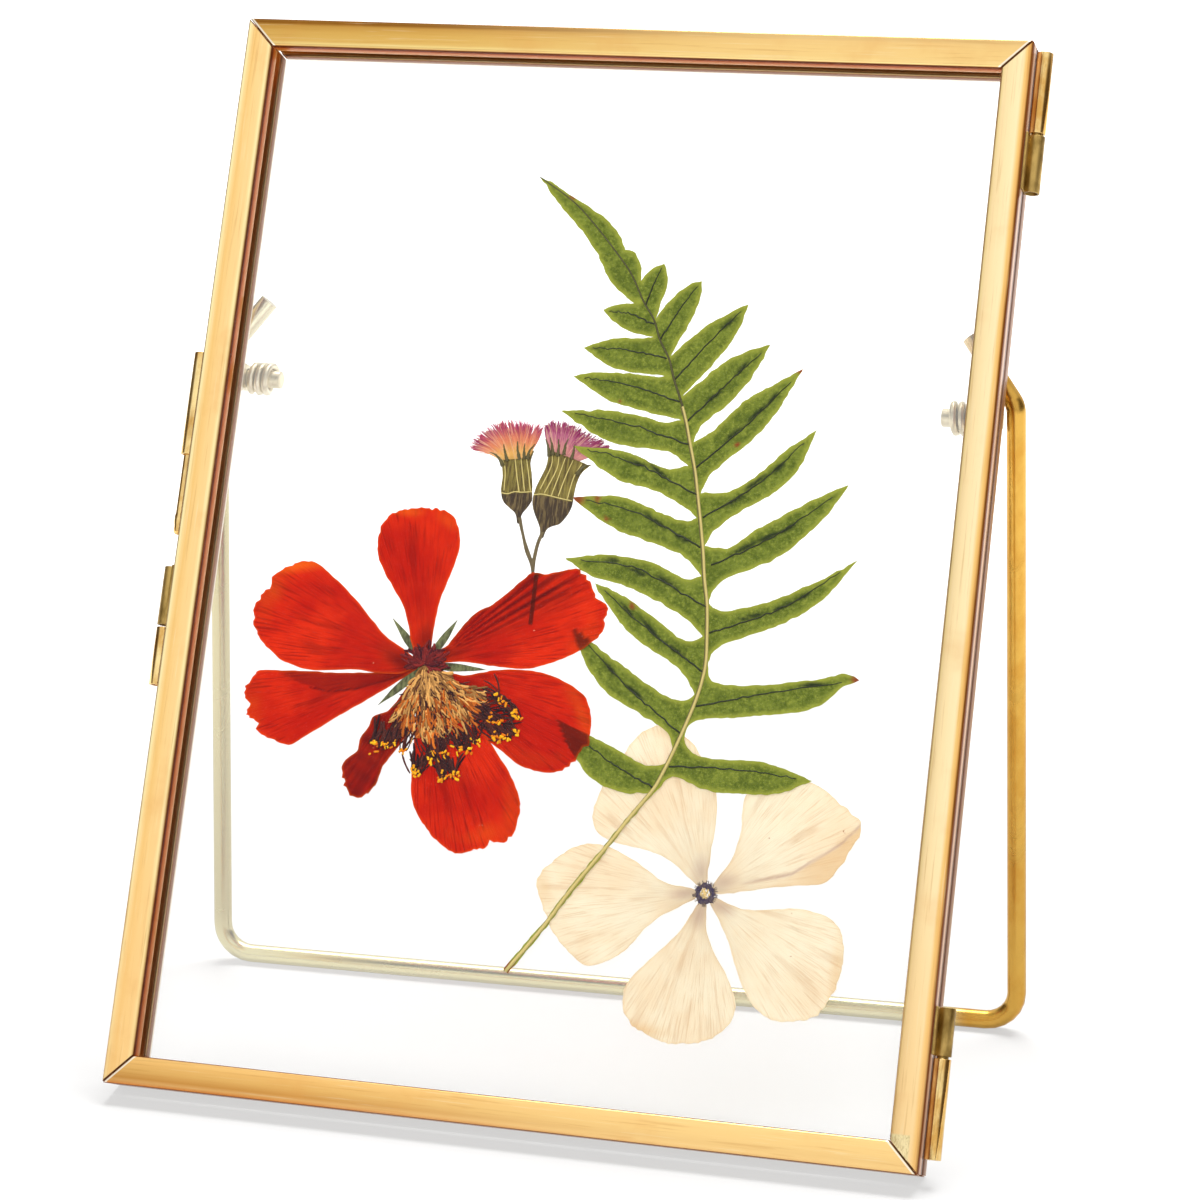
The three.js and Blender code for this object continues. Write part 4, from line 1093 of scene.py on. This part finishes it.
# How far each vein bows up from the straight line, from the top lobe down.
RIGHT_BOW = [0.5, 0.6, 0.4, 0.2, -0.8, -1.6, -1.4, -1.8, 0.2, 0.6]
LEFT_BOW = [0.5, 0.6, 0.7, 0.6, 1.0, 1.6, 2.2, -0.4, -0.8, -0.6]


def midrib(root, tip, bow, seed):
    """A lobe's vein from root to tip, bowed, with a slight tremble, ending short of the tip."""
    rng = random.Random(seed)
    root, tip = np.array(root), np.array(tip)
    halfway = (root + tip) / 2 + np.array([0, bow])
    points = curve_through([root, halfway, tip], 14)
    wiggle = [rng.gauss(0, 0.1) for _ in points]
    points[1:, 1] += np.array(wiggle[1:])
    return points[:int(len(points) * 0.93)]


midribs = [midrib(root, tip, bow, 40 + i) for i, (root, tip, bow) in enumerate(
    zip(RIGHT_ROOTS + LEFT_ROOTS, RIGHT_TIPS + LEFT_TIPS, RIGHT_BOW + LEFT_BOW))]
print("midribs:", len(midribs))

# %% Frond finish
made = Finish("dried_frond")
mottle = made.noise(made.leaf((0.55, 0.55, 0.55)), 1.0, 5.0, 0.7)
fleck = made.noise(made.leaf((2.2, 2.2, 2.2)), 1.0, 4.0, 0.7)
veins = made.noise(made.uv("lobe", (0.25, 1.5, 1)), 1.0, 3.0, 0.6, 0.4)
green = made.mix(made.band(mottle, 0.35, 0.65), rgb(96, 112, 30), rgb(128, 142, 48))
green = made.tint(green, rgb(164, 172, 66), made.band(fleck, 0.5, 0.68), 0.6)
green = made.tint(green, rgb(66, 80, 22), made.band(fleck, 0.5, 0.34), 0.28)
green = made.tint(green, rgb(72, 88, 26), made.band(veins, 0.55, 0.75), 0.35)
margin = made.rest(made.band(made.attribute("edge"), 0.0, 1.1))
green = made.tint(green, rgb(172, 178, 66), margin, 0.75)
# Painted shade darkens the creases.
green = made.mix(made.attribute("dark"), green, rgb(44, 56, 26))
green = made.mix(made.attribute("warm"), green, rgb(150, 74, 34))
relief = made.calc("ADD", fleck, made.times(veins, 0.8))
FROND = made.film(green, 0.22, Roughness=0.6, Specular_IOR_Level=0.15,
                  Normal=made.bump(relief, 0.00016, 0.8))
RIB = two_tone("straw_midrib", rgb(40, 46, 20), rgb(206, 188, 116), 0.5, 0.3)
print("frond finishes:", FROND.name, RIB.name)

# %% Creases along the veins
FROND_LEVEL = -4.325
outline = smoothed(outline_of("fern_frond"), 0.55, 0.1, 3)
frond = cut_sheet("fern_frond_pressed", outline, 0.6, 0.6)
points = spots(frond)
edge = edge_distance(points, outline)
vein_gap = np.full(len(points), 99.0)
vein_run = np.zeros(len(points))
for rib in midribs:
    for k in range(0, len(rib), 2):
        gap = np.hypot(*(points - rib[k]).T)
        nearer = gap < vein_gap
        vein_gap[nearer], vein_run[nearer] = gap[nearer], k * 0.6
crease_rng = np.random.default_rng(21)
creases = np.zeros(len(points))
stain_and_shade = np.zeros(len(points))
# Long wrinkles beside the veins, darkened with painted shade: lobe (0-9 right, 10-19 left),
# place along it, length.
WRINKLES = [(4, 0.45, 2.6), (4, 0.7, 3), (4, 0.85, 2), (5, 0.35, 3), (5, 0.55, 3), (5, 0.8, 2),
            (6, 0.3, 3.2), (6, 0.5, 3), (6, 0.7, 2.4), (7, 0.35, 3.4), (7, 0.6, 3), (7, 0.75, 2),
            (3, 0.4, 2), (3, 0.75, 2.4), (2, 0.85, 2), (14, 0.4, 3), (14, 0.6, 2), (15, 0.45, 3.4),
            (15, 0.2, 2.4), (16, 0.35, 3.4), (16, 0.6, 3), (16, 0.8, 2), (17, 0.3, 3),
            (17, 0.55, 3.4), (17, 0.8, 2.6), (18, 0.5, 3), (8, 0.85, 3), (18, 0.75, 2)]
for lobe, place, length in WRINKLES:
    rib = midribs[lobe]
    k = int(place * (len(rib) - 2))
    along_rib = math.degrees(math.atan2(*(rib[k + 1] - rib[k - 1])[::-1]))
    shape = patch(points, rib[k][0], rib[k][1] + crease_rng.uniform(-0.5, 0.6), length, 0.5,
                  along_rib + crease_rng.uniform(-6, 6), 0.6)
    stain_and_shade = np.maximum(stain_and_shade, shape)
    creases -= shape * 0.06
# Rusty spots: x, y and size.
RUST_SPOTS = [(-7.5, 152.2, 0.7), (4.7, 118.3, 0.5), (2.9, 101.9, 0.8), (4.9, 98.7, 0.5),
              (25.0, 112.2, 0.6), (10.8, 84.8, 0.7), (-0.6, 101.8, 1.8), (48.6, 75.7, 1.2),
              (34.0, 125.0, 0.8), (-2.6, 25.2, 1.6)]
rust = blots(points, [(1, x, y, size, size, 0, 0.6) for x, y, size in RUST_SPOTS])
creases += ripple(crease_rng, points[:, 0] + points[:, 1], points[:, 1], 0.1, 0.3) * 0.02
print("points in the blade:", len(points))

# %% Blade and veins in one piece
paint(frond, "edge", edge)
paint(frond, "dark", stain_and_shade)
paint(frond, "warm", rust)
wrap(frond, "lobe", vein_gap, vein_run)
frond.data.materials.append(FROND)
press(frond, FROND_LEVEL + creases, FILM)

rib_paths = [(rib, np.linspace(0.3, 0.14, len(rib)), -4.27, 0.0) for rib in midribs]
stem = curve_through(RACHIS, 5)
# The stem is thin and green above, and a thicker straw below with a dark line along its left.
upper, lower = stem[stem[:, 1] >= 116], stem[stem[:, 1] < 118]
rib_paths.append((upper, np.linspace(0.18, 0.42, len(upper)), -4.26, 0.1))
rib_paths.append((lower, np.linspace(0.42, 0.62, len(lower)), -4.25, 1.0))
rib_paths.append((lower - np.array([0.3, 0.03]), np.full(len(lower), 0.2), -4.27, 0.2))
ribs = threads("frond_veins", rib_paths, flat=0.35)
ribs.data.materials.append(RIB)
join(frond, ribs)
stand_in(frond, "fern_frond", "back_leaf")
print("frond faces:", len(frond.data.polygons))

# %% [markdown]
# ## The cream flower
# Five broad ivory petals with tan veins fan from a small dark eye. They are made as the red ones
# are, by the same function: their outlines, the longer claw, the finer nicks and the paler finish
# are enough to make another flower of it. Only one petal needs an odd shape, a folded margin.

# %% Cream petals
CREAM_HUB = (28.1, 39.9)
BACKMOST = -4.52


def folded_margin(points, radius, fan, edge, stain_and_shade, flush, wrinkles, rng):
    """The right half of this petal is folded over in a tan ridge, with painted shade on the fold.
    """
    bound = np.interp(points[:, 0], [33.7, 41.5, 48.9, 52.0], [42.0, 44.2, 49.6, 53.2])
    fold = np.exp(-((points[:, 1] - bound) / 0.24)**2) * np.clip((points[:, 0] - 32) / 6, 0, 1)
    under = np.clip((bound - points[:, 1]) / 0.5, 0, 1) * np.clip((points[:, 0] - 36) / 10, 0, 1)
    return np.maximum(stain_and_shade, 0.5 * fold), np.maximum(flush, 0.5 * under), wrinkles + 0.03 * fold


# Dark stains, warm stains and an odd shape for each petal.
CREAM_PETALS = {
    "upper_left": ([(0.3, 27, 43.5, 2, 3)], [(0.3, 20, 64.5, 6, 1)], None),
    "upper_right": ([(0.35, 31, 42, 3, 1.6, 20)], [(0.5, 50, 50, 3, 2.6, 50)], folded_margin),
    "right": ([(0.4, 31, 38, 3, 1.4, -20)], [(0.5, 50.2, 30, 1.6, 6)], None),
    "bottom": ([(0.4, 27.5, 36.5, 1.8, 3)], [(0.5, 21, 17.8, 5, 1.5, 0)], None),
    "left": ([(0.4, 24.6, 39.6, 3.4, 1.2, 10)], [(0.45, 2.0, 38.4, 2.2, 4, 20)], None),
}
for seed, (where, shape) in enumerate(CREAM_PETALS.items(), 31):
    petal(f"cream_petal_{where}", CREAM_HUB, CREAM, "petal_cream", BACKMOST, 0.02, *shape, seed,
          ragged=0.06, claw=(7, 0.9), nicks=0.09)
print("cream petals:", len(CREAM_PETALS))

# %% [markdown]
# ## The eye
# The eye is a navy ring of crowded short scales, with a fringe of fine rays around it and pale
# grains inside. A flat disc with rings painted on it would look printed, so it is built from a few
# hundred short thick threads, each with a shade between navy and straw.

# %% Scales, rays and grains
EYE = two_tone("eye_ring", rgb(52, 44, 78), rgb(238, 208, 140), 0.6, 0.3)
SCALES, RAYS, GRAINS = 150, 46, 46
eye_chance = random.Random(3)
eye_paths = []


def eye_mark(reach, angle, heading, length, width, level, shade):
    """A short thick thread at a place round the eye."""
    x, y = CREAM_HUB[0] + reach * math.cos(angle), CREAM_HUB[1] + reach * math.sin(angle)
    dx, dy = length / 2 * math.cos(heading), length / 2 * math.sin(heading)
    eye_paths.append(([(x - dx, y - dy), (x, y), (x + dx, y + dy)],
                      [width * 0.6, width, width * 0.6], level, shade))


for _ in range(SCALES):
    angle = eye_chance.uniform(0, 2 * math.pi)
    eye_mark(eye_chance.uniform(0.85, 1.6), angle, angle + math.pi / 2 + eye_chance.gauss(0, 0.4),
             0.7, 0.3, -4.45 + eye_chance.uniform(-0.03, 0.03), eye_chance.uniform(0, 0.12))
for _ in range(RAYS):
    angle = eye_chance.uniform(0, 2 * math.pi)
    eye_mark(1.75, angle, angle + eye_chance.gauss(0, 0.3), 0.7, 0.12, -4.44,
             eye_chance.uniform(0.1, 0.3))
for _ in range(GRAINS):
    angle = eye_chance.uniform(0, 2 * math.pi)
    eye_mark(0.72 * math.sqrt(eye_chance.random()), angle, eye_chance.uniform(0, 6.3), 0.35, 0.3,
             -4.41, eye_chance.uniform(0.55, 1))
eye = threads("cream_eye_ring", eye_paths)
eye.data.materials.append(EYE)
stand_in(eye, "cream_eye", "back_leaf")
print("eye threads:", len(eye_paths))

# %% [markdown]
# ## The tassel flowers
# Two small thistle-like heads on a forked stalk. Each has a ribbed olive cup with a darker base
# below a pale ring. The cup's body is a sheet that is pressed like the petals and domed towards
# its middle. Its ribs and dark tips are threads on top of it: they stand proud in the side light,
# which painted lines would not.

# %% Cup finishes
made = Finish("dried_cup")
lines = made.noise(made.leaf((3.2, 0.35, 1)), 1.0, 3.0, 0.6)
cup_side = made.mix(made.band(lines, 0.35, 0.65), rgb(84, 70, 30), rgb(134, 120, 54))
cup_base = made.mix(made.band(lines, 0.45, 0.6), rgb(60, 46, 32), rgb(108, 90, 56))
colour = made.mix(made.attribute("dark"), cup_side, cup_base)
CUP = made.done(made.principled(Base_Color=colour, Roughness=0.6, Specular_IOR_Level=0.3,
                                Normal=made.bump(lines, 0.0002)))
THREAD = two_tone("cup_threads", rgb(54, 50, 30), rgb(224, 206, 128), 0.6, 0.3)
print("cup finishes:", CUP.name, THREAD.name)

# %% Ribs, tips and rings of the cups
PALE_RIBS = {
    "left": [[(-14.0, 107.4), (-13.3, 105.6), (-13.1, 102.3)],
             [(-12.1, 108.7), (-11.3, 105.2), (-10.5, 102.2)],
             [(-11.1, 108.8), (-10.3, 105.3), (-9.6, 102.4)],
             [(-10.0, 108.1), (-9.3, 105.4), (-8.6, 102.5)]],
    "right": [[(-5.7, 109.1), (-5.6, 106.8), (-7.0, 102.9)],
              [(-4.5, 109.2), (-4.6, 106.4), (-6.2, 102.3)],
              [(-3.4, 108.3), (-4.0, 105.7), (-5.0, 101.9)],
              [(-1.9, 108.4), (-3.0, 105.1), (-3.8, 101.9)],
              [(-0.5, 107.5), (-1.6, 105.1), (-2.2, 101.6)]],
}
DARK_TIPS = {
    "left": [[(-16.4, 108.5), (-15.4, 108.2), (-14.4, 107.4), (-13.8, 106.3)],
             [(-14.1, 110.0), (-13.8, 108.9), (-13.1, 107.2)],
             [(-11.8, 110.6), (-11.6, 109.2), (-11.1, 107.6)],
             [(-10.5, 110.3), (-10.5, 109.1), (-10.3, 107.7)],
             [(-8.8, 110.3), (-9.5, 109.2), (-9.8, 107.7)]],
    "right": [[(-7.1, 111.3), (-6.5, 110.0), (-6.1, 108.4)],
              [(-6.4, 111.6), (-5.9, 110.3), (-5.5, 108.6)],
              [(-4.9, 111.4), (-4.7, 110.1), (-4.7, 108.5)],
              [(-3.2, 111.6), (-3.6, 110.4), (-3.7, 108.8)],
              [(-2.1, 110.7), (-2.1, 109.6), (-2.3, 108.1)],
              [(1.1, 107.4), (-0.2, 107.0), (-1.2, 105.6)]],
}
RING = {"left": [(-13.5, 101.9), (-12.4, 101.8), (-11.3, 102.2), (-10.1, 102.2), (-8.3, 102.4)],
        "right": [(-8.0, 101.9), (-6.7, 102.1), (-5.2, 101.9), (-3.5, 101.6), (-1.4, 101.3)]}
# A cup is waisted above its ring and swells below it, then narrows to a neck on the stalk.
CUP_SHAPE = {
    "left": [(-15.2, 108.7), (-14.2, 107.0), (-13.7, 104.9), (-13.6, 102.2), (-13.1, 100.6),
             (-11.9, 99.5), (-10.8, 98.7), (-10.2, 97.0), (-9.6, 97.0), (-9.6, 98.5),
             (-8.9, 99.6), (-8.2, 100.9), (-8.3, 102.4), (-8.7, 105.2), (-9.2, 107.3),
             (-8.8, 109.3), (-11.8, 108.5)],
    "right": [(-7.0, 110.8), (-6.4, 109.0), (-6.4, 107.2), (-7.1, 105.0), (-7.9, 102.6),
              (-8.1, 100.8), (-7.5, 98.9), (-6.7, 97.4), (-6.2, 96.2), (-6.1, 94.9),
              (-5.5, 94.9), (-5.1, 96.3), (-2.9, 97.5), (-2.0, 98.7), (-1.3, 100.5),
              (-1.2, 101.9), (-1.0, 104.0), (-0.4, 105.9), (0.9, 107.3), (-1.6, 108.2),
              (-4.2, 109.0)],
}
print("ribs:", sum(len(ribs) for ribs in PALE_RIBS.values()))

# %% Two cups
CUP_LEVEL, STALK_LEVEL = -4.56, -4.55


def marked(points, thick, thicker, level, shade):
    """A thread through a few points, which thickens along its length."""
    points = curve_through(points, 4)
    return points, np.linspace(thick, thicker, len(points)), level, shade


for side in ("left", "right"):
    outline = smoothed(CUP_SHAPE[side], 0.4, 0.02, 6)
    cup = cut_sheet(f"tassel_{side}_cup_pressed", outline, 0.3, 0.4)
    points = spots(cup)
    edge = edge_distance(points, outline)
    ring_height = np.interp(points[:, 0], *zip(*RING[side]))
    paint(cup, "dark", np.clip((ring_height - points[:, 1]) / 0.3, 0, 1))
    cup.data.materials.append(CUP)
    press(cup, CUP_LEVEL + np.clip(edge, 0, 1.2) * 0.05, FILM)
    marks = [marked(rib, 0.14, 0.2, -4.45, 1.0) for rib in PALE_RIBS[side]]
    marks += [marked(tip, 0.16, 0.75, -4.4, 0.1) for tip in DARK_TIPS[side]]
    marks.append(marked(RING[side], 0.16, 0.16, -4.44, 0.9))
    lines = threads(f"cup_{side}_threads", marks, flat=0.3)
    lines.data.materials.append(THREAD)
    join(cup, lines)
    stand_in(cup, f"tassel_{side}_cup", "back_leaf")
    print(side, "cup's marks:", len(marks))

# %% The forked stalk
stalk_outline = smoothed(np.array(outline_of("tassel_stalk")) - (0.3, 0), 0.4, 0.01, 4)
stalk = cut_sheet("tassel_stalk_pressed", stalk_outline, 0.5, 0.8)
made = Finish("dried_stalk")
grain = made.noise(made.leaf((4, 0.6, 1)), 1.0, 3.0)
colour = made.mix(grain, rgb(74, 60, 38), rgb(120, 104, 66))
STALK = made.done(made.principled(Base_Color=colour, Roughness=0.65))
stalk.data.materials.append(STALK)
press(stalk, np.full(len(spots(stalk)), STALK_LEVEL), 0.1)
stand_in(stalk, "tassel_stalk", "back_leaf")
print("stalk faces:", len(stalk.data.polygons))

# %% [markdown]
# ## The tufts
# Each cup holds a tuft of fine hairs, straw or rose at the root and pink to purple at the tip. The
# hairs spread like a fan that was pressed flat. Each one runs from a point on the cup's rim to a
# point near the tuft's outer edge, with a little chance in both, and takes its colour from how far
# along it a point lies.

# %% Tuft finishes
TUFT = {}
for side, root_colour, mid_colour, end_colour in (
        ("left", rgb(250, 200, 110), rgb(244, 150, 110), rgb(206, 84, 120)),
        ("right", rgb(226, 150, 150), rgb(206, 116, 150), rgb(168, 52, 112))):
    made = Finish(f"{side}_tuft_hair")
    run, tone = made.attribute("along"), made.attribute("tone")
    colour = made.mix(made.band(run, 0.1, 0.55), root_colour, mid_colour)
    colour = made.mix(made.band(run, 0.5, 0.95), colour, end_colour)
    colour = made.tint(colour, rgb(255, 216, 176), made.band(tone, 0.55, 1.0), 0.6)
    colour = made.tint(colour, rgb(150, 24, 90), made.band(tone, 0.35, 0.0), made.times(run, 0.7))
    TUFT[side] = made.film(colour, 0.3, Roughness=0.7, Specular_IOR_Level=0.2)
print("tuft finishes:", ", ".join(material.name for material in TUFT.values()))

# %% Hairs
TUFT_EDGE = {
    "left": [(-19.6, 108.9), (-19.4, 110.2), (-18.5, 111.5), (-17.2, 112.7), (-15.8, 113.5),
             (-14.5, 113.8), (-13.0, 113.9), (-11.3, 113.9), (-9.8, 113.8), (-8.6, 113.6),
             (-7.6, 113.2)],
    "right": [(-7.5, 113.1), (-6.9, 114.1), (-5.6, 114.4), (-3.9, 114.3), (-2.4, 113.9),
              (-0.7, 113.2), (1.1, 112.3), (2.6, 111.5), (3.8, 110.5), (4.4, 109.7)],
}
TUFT_ROOT = {"left": [(-14.3, 107.4), (-9.6, 107.9)], "right": [(-6.2, 109.5), (-1.0, 108.0)]}
HAIRS, HAIR_WIDTHS = 420, [0.2, 0.2, 0.19, 0.18, 0.16, 0.14, 0.1]
hair = random.Random(17)
for side in ("left", "right"):
    rim = curve_through(TUFT_EDGE[side], 8)
    first, last = (np.array(p) for p in TUFT_ROOT[side])
    paths = []
    for _ in range(HAIRS):
        t = hair.random()
        tip = rim[int(t * (len(rim) - 1))] + np.array([hair.gauss(0, 0.12), hair.gauss(0, 0.16)])
        root = first + (last - first) * min(max(t + hair.gauss(0, 0.08), 0), 1)
        tip = root + (tip - root) * hair.uniform(0.8, 1.02)
        bulge = root + (tip - root) * 0.5 + np.array([hair.gauss(0, 0.15), 0.35])
        paths.append((curve_through([root, bulge, tip], 3), HAIR_WIDTHS,
                      -4.44 + hair.uniform(-0.04, 0.03), hair.random()))
    tuft = threads(f"tassel_{side}_tuft_hairs", paths, flat=0.4)
    tuft.data.materials.append(TUFT[side])
    stand_in(tuft, f"tassel_{side}_tuft", "back_leaf")
print("hairs in each tuft:", HAIRS)
